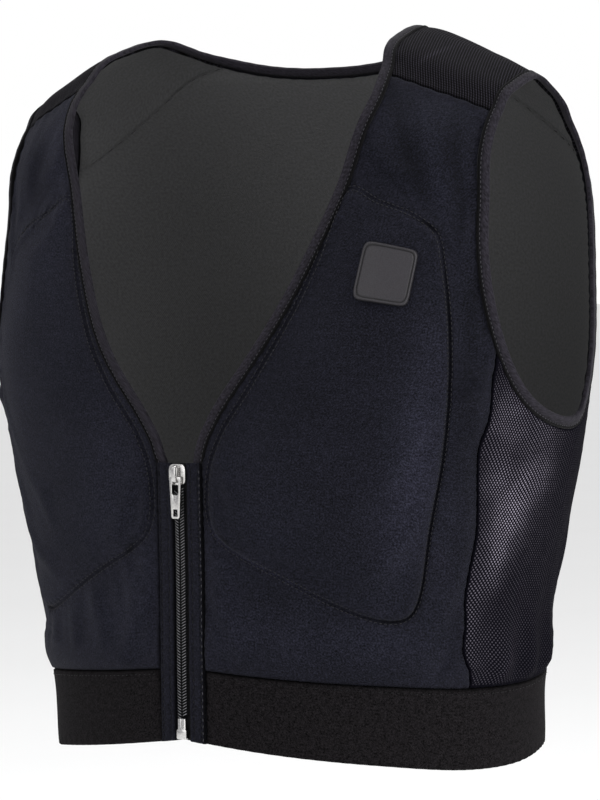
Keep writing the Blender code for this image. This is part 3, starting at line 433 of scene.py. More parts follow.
def girth_at(level, x):
    """The girth angle in the front half where a level reaches a sideways place."""
    square = slice_size("squareness", level)
    share = np.abs(x) / (CHEST_WIDTH / 2 * slice_size("width", level))
    return np.degrees(np.arctan2(share, (1 - share**square)**(1 / square))) * np.sign(x)


def level_at_height(z):
    """The levels whose centre front lies at given heights."""
    levels = np.linspace(0, 0.6, 600)
    return np.interp(z, form_point(np.zeros(600), levels)[:, 2], levels)


def flat_place(girth, level):
    """Girth and level as lengths on a flat plan of the form."""
    return np.stack([girth * GIRTH_LENGTH, level * SHOULDER_HEIGHT], -1)


def on_form(girth, level, lift):
    """Points at a height over the plain form."""
    return form_point(girth, level) + form_normal(girth, level) * np.asarray(lift)[..., None]


def seam_track(rows, names):
    """A seam's girth and level along its rows, eased between them, as a function of the row number."""
    number = np.arange(len(rows), dtype=float)
    columns = [table_column(rows, names, name) for name in ("girth", "level")]

    def at(row):
        row = np.asarray(row, float)
        room = np.clip(np.minimum(row, number[-1] - row), 0, 1)
        return tuple(sum(smooth(number, column, row + step * room) for step in SEAM_EASE) / len(SEAM_EASE)
                     for column in columns)
    return at


def seam_row(rows, joins):
    """The number of the first row of a seam that joins the named piece."""
    return [row[-1] for row in rows].index(joins)


neck_track = seam_track(NECK_SEAM, NECK_SEAM_COLUMNS)
armhole_track = seam_track(ARMHOLE, ARMHOLE_COLUMNS)
NECK_FRONT = seam_row(NECK_SEAM, "front yoke")
NECK_BACK = seam_row(NECK_SEAM, "back yoke")
ARM_FRONT = seam_row(ARMHOLE, "front yoke")
ARM_BACK = seam_row(ARMHOLE, "back yoke")
FRONT_NOTCH = seam_row(ARMHOLE, "front notch")
BACK_NOTCH = seam_row(ARMHOLE, "back notch")
NECK_END = {"front": neck_track(NECK_FRONT), "back": neck_track(NECK_BACK)}
ARM_END = {"front": armhole_track(ARM_FRONT), "back": armhole_track(ARM_BACK)}
NOTCH = {"front": armhole_track(FRONT_NOTCH), "back": armhole_track(BACK_NOTCH)}


def girth_on(track, first, last, level):
    """The girth at each level on a stretch of a seam that only rises or only falls."""
    girth, levels = track(np.linspace(first, last, 400))
    order = np.argsort(levels)
    return np.interp(level, levels[order], girth[order])


def neck_girth(level):
    """The front opening's edge: the facing's seam beside the zip, and the neck seam over it."""
    seam = girth_on(neck_track, 0, NECK_FRONT, level)
    beside_zip = girth_at(np.minimum(level, 0.6), FACING_OUTER)
    return np.where(level < NECK_SEAM[0][1], beside_zip, np.maximum(seam, beside_zip))


def side_girth(level, half):
    """The front or back edge of a mesh side, and of the armhole over it."""
    level = np.asarray(level, float)
    knots = table_column(SIDE_SEAM, SIDE_SEAM_COLUMNS, "level")
    girths = table_column(SIDE_SEAM, SIDE_SEAM_COLUMNS, half)
    notch_girth, notch_level = NOTCH[half]
    rest = notch_girth - smooth(knots, girths, notch_level)
    seam = smooth(knots, girths, level) + rest * np.clip(level / notch_level, 0, 1)**8
    if half == "front":
        wiggle_knots = table_column(SEAM_WIGGLE, SEAM_WIGGLE_COLUMNS, "level")
        seam = seam + smooth(wiggle_knots, table_column(SEAM_WIGGLE, SEAM_WIGGLE_COLUMNS, "girth"), level)
    notch = seam_row(ARMHOLE, half + " notch")
    yoke = seam_row(ARMHOLE, half + " yoke")
    armhole = girth_on(armhole_track, min(notch, yoke), max(notch, yoke), level)
    return np.where(level < notch_level, seam, armhole)


def coons(bottom, top, left, right):
    """A patch between four curves of girth and level, as a function of shares across and up."""
    def at(across, up):
        ends = [np.stack(np.broadcast_arrays(*curve(share)), -1)
                for curve, share in ((bottom, across), (top, across), (left, up), (right, up))]
        corners = [np.stack(np.broadcast_arrays(*curve(share)), -1)
                   for curve, share in ((bottom, 0.0), (bottom, 1.0), (top, 0.0), (top, 1.0))]
        u, w = across[..., None], up[..., None]
        straight = (1 - w) * ends[0] + w * ends[1] + (1 - u) * ends[2] + u * ends[3]
        plain = (1 - u) * (1 - w) * corners[0] + u * (1 - w) * corners[1]
        plain = plain + (1 - u) * w * corners[2] + u * w * corners[3]
        both = straight - plain
        return both[..., 0], both[..., 1]
    return at


# Patches of the form that the cloth pieces cover, each a function of shares across and up


def front_patch(across, up):
    notch, neck_top, arm_top = NOTCH["front"][1], NECK_END["front"][1], ARM_END["front"][1]
    neck_level = np.interp(up, [0, 2 / 3, 1], [HEM_LEVEL, notch, neck_top])
    arm_level = np.interp(up, [0, 2 / 3, 1], [HEM_LEVEL, notch, arm_top])
    inner, outer = neck_girth(neck_level), side_girth(arm_level, "front")
    return inner + (outer - inner) * across, neck_level + (arm_level - neck_level) * across


def back_yoke_seam(share):
    """The yoke's back seam, from the neck to the armhole, with levels over the shoulder line."""
    neck, arm = NECK_END["back"], ARM_END["back"]
    return neck[0] + (180 - arm[0] - neck[0]) * share, neck[1] + (2 - arm[1] - neck[1]) * share


def back_top_level(girth):
    """The back panel's top edge: the yoke seams, and the neck seam between them."""
    neck, arm = NECK_END["back"], ARM_END["back"]
    off_centre = np.abs(180 - girth)
    along = (off_centre - neck[0]) / (180 - arm[0] - neck[0])
    girths, levels = neck_track(np.linspace(NECK_BACK, len(NECK_SEAM) - 1, 200))
    neck_level = np.interp(off_centre, girths[::-1], levels[::-1])
    return 2 - np.where(along > 0, back_yoke_seam(along)[1], neck_level)


def back_patch(across, up):
    notch, arm = NOTCH["back"][1], ARM_END["back"]
    edge_level = np.interp(up, [0, 0.5, 1], [HEM_LEVEL, notch, arm[1]])
    edge = side_girth(edge_level, "back")
    top = back_top_level(arm[0] + (360 - 2 * arm[0]) * across)
    climb = (edge_level - HEM_LEVEL) / (arm[1] - HEM_LEVEL)
    return edge + (360 - 2 * edge) * across, HEM_LEVEL + (top - HEM_LEVEL) * climb


def side_seam(half):
    notch = NOTCH[half][1]

    def at(share):
        level = HEM_LEVEL + (notch - HEM_LEVEL) * np.asarray(share, float)
        return side_girth(np.minimum(level, notch - 1e-6), half), level
    return at


def side_hem(share):
    start, end = side_seam("front")(0.0)[0], side_seam("back")(0.0)[0]
    return start + (end - start) * share, HEM_LEVEL


def under_arm(share):
    return armhole_track(FRONT_NOTCH + (BACK_NOTCH - FRONT_NOTCH) * share)


def front_yoke_seam(share):
    neck, arm = NECK_END["front"], ARM_END["front"]
    return neck[0] + (arm[0] - neck[0]) * share, neck[1] + (arm[1] - neck[1]) * share


def yoke_neck_edge(share):
    return neck_track(NECK_FRONT + (NECK_BACK - NECK_FRONT) * share)


def yoke_arm_edge(share):
    """Up the front of the armhole to the shoulder line, then down its back."""
    share = np.asarray(share, float)
    last = len(ARMHOLE) - 1
    climb = ARM_FRONT / (ARM_FRONT + last - ARM_BACK)
    front_girth, front_level = armhole_track(ARM_FRONT * (1 - share / climb))
    back_girth, back_level = armhole_track(last - (last - ARM_BACK) * (share - climb) / (1 - climb))
    before = share < climb
    return np.where(before, front_girth, 180 - back_girth), np.where(before, front_level, 2 - back_level)


side_patch = coons(side_hem, under_arm, side_seam("front"), side_seam("back"))
yoke_patch = coons(front_yoke_seam, back_yoke_seam, yoke_neck_edge, yoke_arm_edge)


def hem_patch(across, up):
    level = HEM_LEVEL * up
    start = girth_at(level, FACING_OUTER)
    return start + (360 - 2 * start) * across, level


# Relief of the cloth over the form


def pad_line(count=160):
    """The chest pad's outline as a smooth closed line of girth and level."""
    loop = np.arange(-3, len(PAD_OUTLINE) + 4)
    girth = table_column(PAD_OUTLINE, PAD_OUTLINE_COLUMNS, "girth")[loop % len(PAD_OUTLINE)]
    level = table_column(PAD_OUTLINE, PAD_OUTLINE_COLUMNS, "level")[loop % len(PAD_OUTLINE)]
    at = np.linspace(0, len(PAD_OUTLINE), count + 1)[:-1]
    return smooth(loop.astype(float), girth, at), smooth(loop.astype(float), level, at)


PAD_LINE = flat_place(*pad_line())


def pad_depth(girth, level):
    """How far inside a pad's outline each place lies in metres, and how far along the outline it is."""
    place = flat_place(np.abs(girth), level)
    nearest = np.full(place.shape[:-1], np.inf)
    along = np.zeros(place.shape[:-1])
    inside = np.zeros(place.shape[:-1], bool)
    run = 0.0
    for start, end in zip(PAD_LINE, np.roll(PAD_LINE, -1, axis=0)):
        side = end - start
        length = np.linalg.norm(side)
        share = np.clip(((place - start) @ side) / length**2, 0, 1)
        off = np.linalg.norm(place - start - share[..., None] * side, axis=-1)
        along = np.where(off < nearest, run + share * length, along)
        nearest = np.minimum(nearest, off)
        crosses = (start[1] > place[..., 1]) != (end[1] > place[..., 1])
        height = np.where(crosses, side[1], 1.0)
        inside ^= crosses & (place[..., 0] < start[0] + (place[..., 1] - start[1]) * side[0] / height)
        run += length
    return np.where(inside, nearest, -nearest), along


def bump(place, length, width, turn):
    """A rounded fold at the middle of a flat plan, 1 at its crest."""
    c, s = math.cos(math.radians(turn)), math.sin(math.radians(turn))
    along = (place[..., 0] * c + place[..., 1] * s) / length
    over = (place[..., 1] * c - place[..., 0] * s) / width
    return np.exp(-along**2 - over**2)


def relief(girth, level):
    """Broad rise of the cloth off the plain form: folds, the blouse over the hem and the gathers."""
    side = np.abs((girth + 180) % 360 - 180)
    rise = np.zeros(np.broadcast(girth, level).shape)
    for girth_0, level_0, length, width, height, turn in FOLDS:
        off = flat_place(side - girth_0, level - level_0) / HEM_WIDTH
        rise = rise + PAD_RISE * height * bump(off, length, width, turn)
    sides = BLOUSE_LEAST + (1 - BLOUSE_LEAST) * np.exp(-((side - GATHER_GIRTH) / BLOUSE_REACH)**2)
    rise = rise + BLOUSE_RISE * sides * np.exp(-((level - BLOUSE_LEVEL) / BLOUSE_SPREAD)**2)
    reach = np.exp(-((side - GATHER_GIRTH) / GATHER_REACH)**4)
    fade = np.exp(-((level - HEM_LEVEL) / GATHER_SPREAD)**2)
    gathers = np.cos(2 * math.pi * (side - GATHER_GIRTH) / GATHER_PITCH)
    start = np.clip((level - HEM_LEVEL) / GATHER_START, 0, 1)
    return rise + GATHER_RISE * reach * fade * gathers * start


def creases(girth, level, side):
    """Fine creases of one side of the vest."""
    rise = np.zeros(np.broadcast(girth, level).shape)
    for which, girth_0, level_0, length, width, height, turn in CREASES:
        if which in (0, side):
            rise = rise + height * bump(flat_place(girth - girth_0, level - level_0), length, width, turn)
    return rise


def channel_painted_shade(girth, level, side):
    """Painted shade in the channel round a pad: strong at its outer side, faint along its top and inner edge,
    and under 0 a painted highlight along the left pad's low inner edge.
    """
    strength = 0.35 + 0.60 * np.clip((girth - 40) / 8, 0, 1)
    strength = strength * (1 - 0.80 * np.clip((level - 0.62) / 0.08, 0, 1))
    if side > 0:
        low_inner = np.clip((33 - girth) / 8, 0, 1) * np.clip((0.33 - level) / 0.02, 0, 1)
        strength = strength * (1 - 3.6 * low_inner)
    return strength


def front_painted_light(girth, level, side):
    """Painted light where light falls on the front over the pads, and painted shade in its folds."""
    light = np.zeros(np.broadcast(girth, level).shape)
    for which, girth_0, level_0, length, width, amount, turn in PAINTED_FRONT_LIGHT:
        if which in (0, side):
            light = light + amount * bump(flat_place(girth - girth_0, level - level_0), length, width, turn)
    return light


def pad_rise(depth, girth):
    """Rise over a pad at a depth inside its outline: a quick shoulder, stronger outside, and a dome."""
    shoulder = np.sin(np.clip(depth / PAD_SHOULDER, 0, 1) * math.pi / 2)
    dome = np.sin(np.clip(depth / PAD_DOME, 0, 1) * math.pi / 2)**1.2
    share = 0.20 + 0.22 * np.clip((np.abs(girth) - 36) / 10, 0, 1)
    return PAD_RISE * (share * shoulder + (1 - share) * dome)


def pad_relief(girth, level, sizes):
    """The rise over a pad, the sewn channel round it, and the channel's puckers."""
    depth, along = pad_depth(girth, level)
    rise = pad_rise(depth, girth)
    outer_side = 0.5 + 0.5 * np.clip((np.abs(girth) - 40) / 8, 0, 1)
    outer_side = outer_side * (1 - 0.65 * np.clip((level - 0.60) / 0.08, 0, 1))
    half = sizes.channel_width / 2
    channel = 1 / (1 + (depth / half)**4)
    pucker = np.cos(2 * math.pi * along / PAD_PUCKER_PITCH + 0.8 * np.sin(along / 0.021))
    beside = np.exp(-((np.abs(depth) - 2.2 * half) / (1.6 * half))**2)
    return rise - sizes.channel_depth * outer_side * channel + PAD_PUCKER * pucker * beside


def patch_spans(patch, across, up):
    """Width and height of a patch through each place, on the flat plan."""
    zero, one = np.zeros_like(across), np.ones_like(across)
    width = np.linalg.norm(flat_place(*patch(one, up)) - flat_place(*patch(zero, up)), axis=-1)
    height = np.linalg.norm(flat_place(*patch(across, one)) - flat_place(*patch(across, zero)), axis=-1)
    return width, height


def edge_turn(patch, across, up):
    """How far the cloth turns in at its four edges, with puckers beside them."""
    width, height = patch_spans(patch, across, up)
    turn, dip = np.zeros_like(across), np.zeros_like(across)
    for off, run in ((across * width, up * height), ((1 - across) * width, up * height),
                     (up * height, across * width), ((1 - up) * height, across * width)):
        turned = np.clip(1 - off / EDGE_TURN, 0, 1)
        wave = np.cos(2 * math.pi * run / PUCKER_PITCH + 1.3 * np.sin(run / 0.013))
        turn = np.maximum(turn, EDGE_TURN * (1 - np.sqrt(1 - turned**2)))
        dip = np.maximum(dip, EDGE_DIP * (1 + PUCKER_SHARE * wave) * np.exp(-(off / EDGE_REACH)**2))
    return turn + dip


# Making cloth


def seam_shade(patch, across, up, reach=0.0011):
    """Dark beside a piece's own edges, as a share."""
    width, height = patch_spans(patch, across, up)
    off = np.minimum(np.minimum(across, 1 - across) * width, np.minimum(up, 1 - up) * height)
    return np.exp(-(off / reach)**2)


def grid_reader(values):
    """Reads values on a regular grid at shares across and up, between the grid's points."""
    rows, columns = values.shape[:2]

    def at(across, up):
        x = np.clip(across, 0, 1) * (columns - 1)
        y = np.clip(up, 0, 1) * (rows - 1)
        i = np.minimum(x.astype(int), columns - 2)
        j = np.minimum(y.astype(int), rows - 2)
        s, t = x - i, y - j
        if values.ndim == 3:
            s, t = s[..., None], t[..., None]
        low = values[j, i] * (1 - s) + values[j, i + 1] * s
        high = values[j + 1, i] * (1 - s) + values[j + 1, i + 1] * s
        return low * (1 - t) + high * t
    return at


def measured(surface, columns=40, rows=60):
    """Lengths across and up a piece in metres, which its weave follows, as a function of shares."""
    across, up = np.meshgrid(np.linspace(0, 1, columns + 1), np.linspace(0, 1, rows + 1))
    points = surface(across.ravel(), up.ravel(), 0.0).reshape(across.shape + (3,))
    u = np.cumsum(np.linalg.norm(np.diff(points, axis=1), axis=-1), axis=1)
    u = np.concatenate([np.zeros((rows + 1, 1)), u], axis=1)
    v = np.cumsum(np.linalg.norm(np.diff(points, axis=0), axis=-1), axis=0)
    v = np.concatenate([np.zeros((1, columns + 1)), v], axis=0)
    return grid_reader(np.stack([u - u[:, columns // 2, None], v], -1))


def crowded(share, amount):
    """A share whose even steps close up towards both ends."""
    return share - amount * math.sin(2 * math.pi * share) / (2 * math.pi)


def share_grid(grid, crowding, near=None):
    """A flat grid that keeps each point's shares, made finer where near() is small."""
    bm = bmesh.new()
    bmesh.ops.create_grid(bm, x_segments=grid[0], y_segments=grid[1], size=0.5)
    across = bm.verts.layers.float.new("across")
    up = bm.verts.layers.float.new("up")
    for vert in bm.verts:
        vert[across] = crowded(vert.co.x + 0.5, crowding[0])
        vert[up] = crowded(vert.co.y + 0.5, crowding[1])
    for reach in REFINE_REACH if near else ():
        shares = np.array([(vert[across], vert[up]) for vert in bm.verts])
        close = near(shares[:, 0], shares[:, 1]) < reach
        marked = {vert for vert, hit in zip(bm.verts, close) if hit}
        edges = [edge for edge in bm.edges if edge.verts[0] in marked and edge.verts[1] in marked]
        bmesh.ops.subdivide_edges(bm, edges=edges, cuts=1, use_grid_fill=True)
    return bm, across, up


def cloth_mesh(name, grid, surface, wall, side=1, closed=False, near=None, shade=None,
               crowding=(EDGE_CROWDING, EDGE_CROWDING)):
    """A closed wall of cloth, with its second material inside, its weave's UV map and its shade."""
    bm, across, up = share_grid(grid, crowding, near)
    outside = set(bm.verts)
    bmesh.ops.solidify(bm, geom=bm.faces[:], thickness=wall)
    inside = {vert for vert in bm.verts if vert not in outside}
    for face in bm.faces:
        face.smooth = True
        face.material_index = int(all(vert in inside for vert in face.verts))
    for verts, depth in ((list(outside), 0.0), (list(inside), wall)):
        shares = np.array([(vert[across], vert[up]) for vert in verts])
        for vert, place in zip(verts, surface(shares[:, 0], shares[:, 1], depth)):
            vert.co = Vector((place[0] * side, place[1], place[2]))
    if closed:
        ends = [face for face in bm.faces if all(vert[up] < 1e-6 for vert in face.verts)
                or all(vert[up] > 1 - 1e-6 for vert in face.verts)]
        bmesh.ops.delete(bm, geom=ends, context="FACES_ONLY")
    if side < 0:
        bmesh.ops.reverse_faces(bm, faces=bm.faces[:])
    shares = np.array([(vert[across], vert[up]) for vert in bm.verts])
    lengths = measured(surface)(shares[:, 0], shares[:, 1])
    weave = bm.loops.layers.uv.new("weave")
    bm.verts.index_update()
    for face in bm.faces:
        for loop in face.loops:
            loop[weave].uv = lengths[loop.vert.index]
    if shade:
        layer = bm.verts.layers.float.new("shade")
        across, up = bm.verts.layers.float["across"], bm.verts.layers.float["up"]
        for vert, value in zip(bm.verts, shade(shares[:, 0], shares[:, 1])):
            vert[layer] = value
    if closed:
        rim = [vert for vert in bm.verts if vert[up] < 1e-6 or vert[up] > 1 - 1e-6]
        bmesh.ops.remove_doubles(bm, verts=rim, dist=0.00005)
    bm.verts.layers.float.remove(bm.verts.layers.float["across"])
    bm.verts.layers.float.remove(bm.verts.layers.float["up"])
    return finished(name, bm)


def finished(name, bm):
    """A mesh object at the origin from a bmesh."""
    mesh = bpy.data.meshes.new(name)
    bm.to_mesh(mesh)
    bm.free()
    piece = bpy.data.objects.new(name, mesh)
    bpy.context.scene.collection.objects.link(piece)
    return piece


def dress(piece, materials, replaced, body="vest"):
    """Gives a piece its materials, its body and the nodes that it stands for."""
    for material in materials:
        piece.data.materials.append(material)
    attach(piece, body)
    if replaced:
        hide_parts(*replaced)
    return piece


def shrunk(patch):
    """The same patch, drawn in by the hair's breadth that shows between two turned edges."""
    def at(across, up):
        width, height = patch_spans(patch, across, up)
        edge_u, edge_w = SHOW_GAP / 2 / width, SHOW_GAP / 2 / height
        return patch(edge_u + (1 - 2 * edge_u) * across, edge_w + (1 - 2 * edge_w) * up)
    return at


def cloth_surface(patch, lift):
    """Points of a cloth piece from shares across and up and a depth under its outer face."""
    edge = shrunk(patch)

    def at(across, up, depth):
        girth, level = edge(across, up)
        return on_form(girth, level, lift(girth, level) - edge_turn(patch, across, up) - depth)
    return at


def settled(patch, surface, columns, rows, held, sizes):
    """How far cloth moves off its drawn shape as it settles between its seams, from a simulation."""
    bm, across, up = share_grid((columns, rows), (0.0, 0.0))
    shares = np.array([(vert[across], vert[up]) for vert in bm.verts])
    start = surface(shares[:, 0], shares[:, 1], 0.0)
    for vert, place in zip(bm.verts, start):
        vert.co = Vector(place)
    piece = finished("settling_cloth", bm)
    group = piece.vertex_groups.new(name="held")
    rim = np.minimum(shares, 1 - shares).min(1) < 1e-4
    pinned = np.nonzero(rim | held(*patch(shares[:, 0], shares[:, 1])))[0]
    group.add([int(k) for k in pinned], 1.0, "REPLACE")
    cloth = piece.modifiers.new("settle", "CLOTH")
    cloth.settings.quality = 5
    cloth.settings.mass = 0.25
    cloth.settings.tension_stiffness = 20
    cloth.settings.compression_stiffness = 6
    cloth.settings.shear_stiffness = 4
    cloth.settings.bending_stiffness = 0.35
    cloth.settings.shrink_min = -0.035
    cloth.settings.vertex_group_mass = "held"
    cloth.settings.effector_weights.gravity = 0.25
    cloth.collision_settings.use_collision = False
    for number in range(1, sizes.settle_frames + 1):
        bpy.context.scene.frame_set(number)
    moved = np.empty(len(start) * 3)
    piece.evaluated_get(bpy.context.evaluated_depsgraph_get()).data.vertices.foreach_get("co", moved)
    normal = form_normal(*patch(shares[:, 0], shares[:, 1]))
    off = np.clip(((moved.reshape(-1, 3) - start) * normal).sum(1), -sizes.settle_cap, sizes.settle_cap)
    bpy.data.objects.remove(piece)
    bpy.context.scene.frame_set(1)
    order = np.lexsort((np.round(shares[:, 0], 6), np.round(shares[:, 1], 6)))
    field = off[order].reshape(rows + 1, columns + 1)
    for _ in range(2):
        inner = (field[:-2, 1:-1] + field[2:, 1:-1] + field[1:-1, :-2] + field[1:-1, 2:]) / 4
        field[1:-1, 1:-1] = (field[1:-1, 1:-1] + inner) / 2
    return grid_reader(field)


# Materials


def add_node(tree, kind, inputs=None, **settings):
    """A shader node with its settings, and its inputs set or linked."""
    node = tree.nodes.new(kind)
    for name, value in settings.items():
        setattr(node, name, value)
    for socket, value in (inputs or {}).items():
        if isinstance(value, bpy.types.NodeSocket):
            tree.links.new(value, node.inputs[socket])
        else:
            node.inputs[socket].default_value = value
    return node


def new_material(name, roughness, specular, metallic=0.0, sheen=0.0, sheen_tint=(1, 1, 1, 1)):
    """A material and its Principled shader, with the numbers that are the same all over."""
    material = bpy.data.materials.new(name)
    material.use_nodes = True
    shader = material.node_tree.nodes["Principled BSDF"]
    shader.inputs["Roughness"].default_value = roughness
    shader.inputs["Specular IOR Level"].default_value = specular
    shader.inputs["Metallic"].default_value = metallic
    shader.inputs["Sheen Weight"].default_value = sheen
    shader.inputs["Sheen Roughness"].default_value = 0.5
    shader.inputs["Sheen Tint"].default_value = sheen_tint
    return material, material.node_tree, shader


def in_millimetres(tree, place):
    """Coordinates turned from metres to millimetres."""
    return add_node(tree, "ShaderNodeMapping", {"Vector": place, "Scale": (1000, 1000, 1000)}).outputs[0]


def weave_place(tree):
    """The weave's own coordinates, in millimetres."""
    return in_millimetres(tree, add_node(tree, "ShaderNodeUVMap", uv_map="weave").outputs[0])


def object_place(tree):
    """Object coordinates, in millimetres."""
    return in_millimetres(tree, add_node(tree, "ShaderNodeTexCoord").outputs["Object"])


def maths(tree, operation, *values):
    """The result of a Math node."""
    return add_node(tree, "ShaderNodeMath", dict(enumerate(values)), operation=operation).outputs[0]


def noise(tree, place, size, detail=2.0):
    """Noise whose grains are about size millimetres."""
    return add_node(
        tree, "ShaderNodeTexNoise", {"Vector": place, "Scale": 1 / size, "Detail": detail}).outputs[0]


def ramp(tree, factor, stops):
    """A colour from a factor, by stops of place and colour."""
    node = add_node(tree, "ShaderNodeValToRGB", {0: factor})
    for _ in range(len(stops) - 2):
        node.color_ramp.elements.new(0.5)
    for element, (place, colour) in zip(node.color_ramp.elements, stops):
        element.position = place
        element.color = (*colour[:3], 1)
    return node.outputs[0]


def tone(colour, share):
    """A colour made lighter or darker."""
    return tuple(part * share for part in colour)


def shaded(tree, colour):
    """Painted shade: a colour made darker where the piece's shade is over 0, and painted light: lighter where
    it is under.
    """
    shade = add_node(tree, "ShaderNodeAttribute", attribute_name="shade").outputs["Fac"]
    factor = maths(tree, "MULTIPLY_ADD", shade, -0.85, 1.0)
    return add_node(tree, "ShaderNodeVectorMath", {0: colour, "Scale": factor}, operation="SCALE").outputs[0]


def cosine(tree, value, pitch, phase=0.0):
    """A wave between -1 and 1 along a length in millimetres."""
    turns = maths(tree, "MULTIPLY_ADD", value, 2 * math.pi / pitch, phase)
    return maths(tree, "COSINE", turns)


def raise_surface(tree, shader, height, distance, strength=1.0):
    """A bump from a height, over a distance in metres."""
    node = add_node(
        tree, "ShaderNodeBump", {"Height": height, "Distance": distance, "Strength": strength})
    tree.links.new(node.outputs[0], shader.inputs["Normal"])


def stretch_fabric(colours):
    """Navy stretch knit: fine loops, a soft grain and a slight bloom of sheen."""
    bloom = (0.62, 0.64, 0.85, 1)
    material, tree, shader = new_material("navy_stretch", 0.80, 0.07, sheen=0.04, sheen_tint=bloom)
    place = weave_place(tree)
    parts = add_node(tree, "ShaderNodeSeparateXYZ", {0: place}).outputs
    loops = maths(tree, "MULTIPLY", cosine(tree, parts[0], 0.85), cosine(tree, parts[1], 0.62))
    grain = noise(tree, place, 1.0, 1.5)
    coarse = noise(tree, place, 3.4)
    broad = noise(tree, place, 34.0)
    mixed = maths(tree, "MULTIPLY_ADD", coarse, 0.30, maths(tree, "MULTIPLY_ADD", broad, 0.20, grain))
    mixed = maths(tree, "MULTIPLY_ADD", loops, 0.04, mixed)
    colour = ramp(tree, mixed, ((0.45, tone(colours.navy, 0.10)), (0.75, tone(colours.navy, 1.0)),
                                (1.0, tone(colours.navy, 2.3))))
    tree.links.new(shaded(tree, colour), shader.inputs["Base Color"])
    raise_surface(tree, shader, maths(tree, "MULTIPLY_ADD", grain, 2.2, loops), 0.00010, 0.9)
    return material


def lining_fabric(colours):
    """Plain charcoal lining knit on the inside."""
    material, tree, shader = new_material("lining", 0.9, 0.05, sheen=0.05)
    place = weave_place(tree)
    parts = add_node(tree, "ShaderNodeSeparateXYZ", {0: place}).outputs
    loops = maths(tree, "MULTIPLY", cosine(tree, parts[0], 1.1), cosine(tree, parts[1], 0.9))
    grain = noise(tree, place, 1.6)
    colour = ramp(tree, grain, ((0.3, tone(colours.lining, 0.85)), (0.7, tone(colours.lining, 1.15))))
    tree.links.new(colour, shader.inputs["Base Color"])
    raise_surface(tree, shader, loops, 0.00006)
    return material


def rib_fabric(colours):
    """Ribbed knit of the yokes: upright ribs built of small chevrons."""
    material, tree, shader = new_material("rib_knit", 0.8, 0.06, sheen=0.01)
    place = weave_place(tree)
    parts = add_node(tree, "ShaderNodeSeparateXYZ", {0: place}).outputs
    lean = maths(tree, "MULTIPLY_ADD", parts[1], 0.30, parts[0])
    ribs = cosine(tree, lean, 1.50)
    across_rib = maths(tree, "ABSOLUTE", maths(tree, "WRAP", lean, 0.75, -0.75))
    chevrons = cosine(tree, maths(tree, "MULTIPLY_ADD", across_rib, 0.9, parts[1]), 1.45)
    both = maths(tree, "MULTIPLY_ADD", chevrons, 0.45, ribs)
    grain = maths(tree, "MULTIPLY_ADD", noise(tree, place, 1.1), 0.3, 0.35)
    shade = maths(tree, "MULTIPLY_ADD", both, 0.33, grain)
    colour = ramp(tree, shade, ((0.25, tone(colours.rib, 0.05)), (0.60, tone(colours.rib, 0.7)),
                                (0.95, tone(colours.rib, 4.2))))
    tree.links.new(shaded(tree, colour), shader.inputs["Base Color"])
    raise_surface(tree, shader, both, 0.00022)
    return material


def mesh_fabric(colours):
    """Black spacer mesh: staggered dots between dark yarns, with painted highlights on them where its shade
    is low.
    """
    material, tree, shader = new_material("dotted_mesh", 0.85, 0.02)
    place = weave_place(tree)
    half = (1.17, 1.29, 1.0)
    rows = []
    for shift in ((0, 0, 0), half):
        moved = add_node(tree, "ShaderNodeVectorMath", {0: place, 1: shift}, operation="ADD").outputs[0]
        flat = add_node(
            tree, "ShaderNodeVectorMath", {0: moved, 1: (1, 1, 0)}, operation="MULTIPLY").outputs[0]
        cell = add_node(
            tree, "ShaderNodeVectorMath", {0: flat, 1: half, 2: tone(half, -1)}, operation="WRAP").outputs[0]
        rows.append(add_node(tree, "ShaderNodeVectorMath", {0: cell}, operation="LENGTH").outputs["Value"])
    off = maths(tree, "MINIMUM", *rows)
    dots = add_node(
        tree, "ShaderNodeMapRange", {"Value": off, "From Min": 0.66, "From Max": 0.26},
        interpolation_type="SMOOTHSTEP").outputs[0]
    shade = add_node(tree, "ShaderNodeAttribute", attribute_name="shade").outputs["Fac"]
    painted_lit_share = maths(tree, "MULTIPLY_ADD", shade, -0.95, 1.0)
    patches = maths(tree, "MULTIPLY_ADD", noise(tree, place, 9.0), 0.9, 0.55)
    spark = maths(tree, "MULTIPLY_ADD", noise(tree, place, 1.2, 0.0), 0.7, 0.65)
    spark = maths(tree, "MULTIPLY", spark, patches)
    # The dots' painted highlight, varied by noise and scaled by the mesh's painted light
    bright = maths(tree, "MULTIPLY", dots, maths(tree, "MULTIPLY", spark, painted_lit_share))
    colour = ramp(tree, bright, ((0.0, tone(colours.mesh, 1.0)), (1.0, tone(colours.dots, 1.0))))
    tree.links.new(colour, shader.inputs["Base Color"])
    raise_surface(tree, shader, dots, 0.00018)
    return material


def elastic_fabric(colours):
    """Matt black woven elastic with fine cross ribs."""
    material, tree, shader = new_material("hem_elastic", 0.85, 0.05)
    place = weave_place(tree)
    parts = add_node(tree, "ShaderNodeSeparateXYZ", {0: place}).outputs
    ribs = maths(tree, "MULTIPLY", cosine(tree, parts[0], 1.15), cosine(tree, parts[1], 0.80))
    grain = noise(tree, place, 1.0, 1.5)
    grain = maths(tree, "MULTIPLY_ADD", noise(tree, place, 3.0), 0.5, grain)
    shade = maths(tree, "MULTIPLY_ADD", ribs, 0.06, grain)
    colour = ramp(tree, shade, ((0.50, tone(colours.elastic, 0.1)), (1.0, tone(colours.elastic, 1.9))))
    tree.links.new(shaded(tree, colour), shader.inputs["Base Color"])
    raise_surface(tree, shader, ribs, 0.00010)
    return material


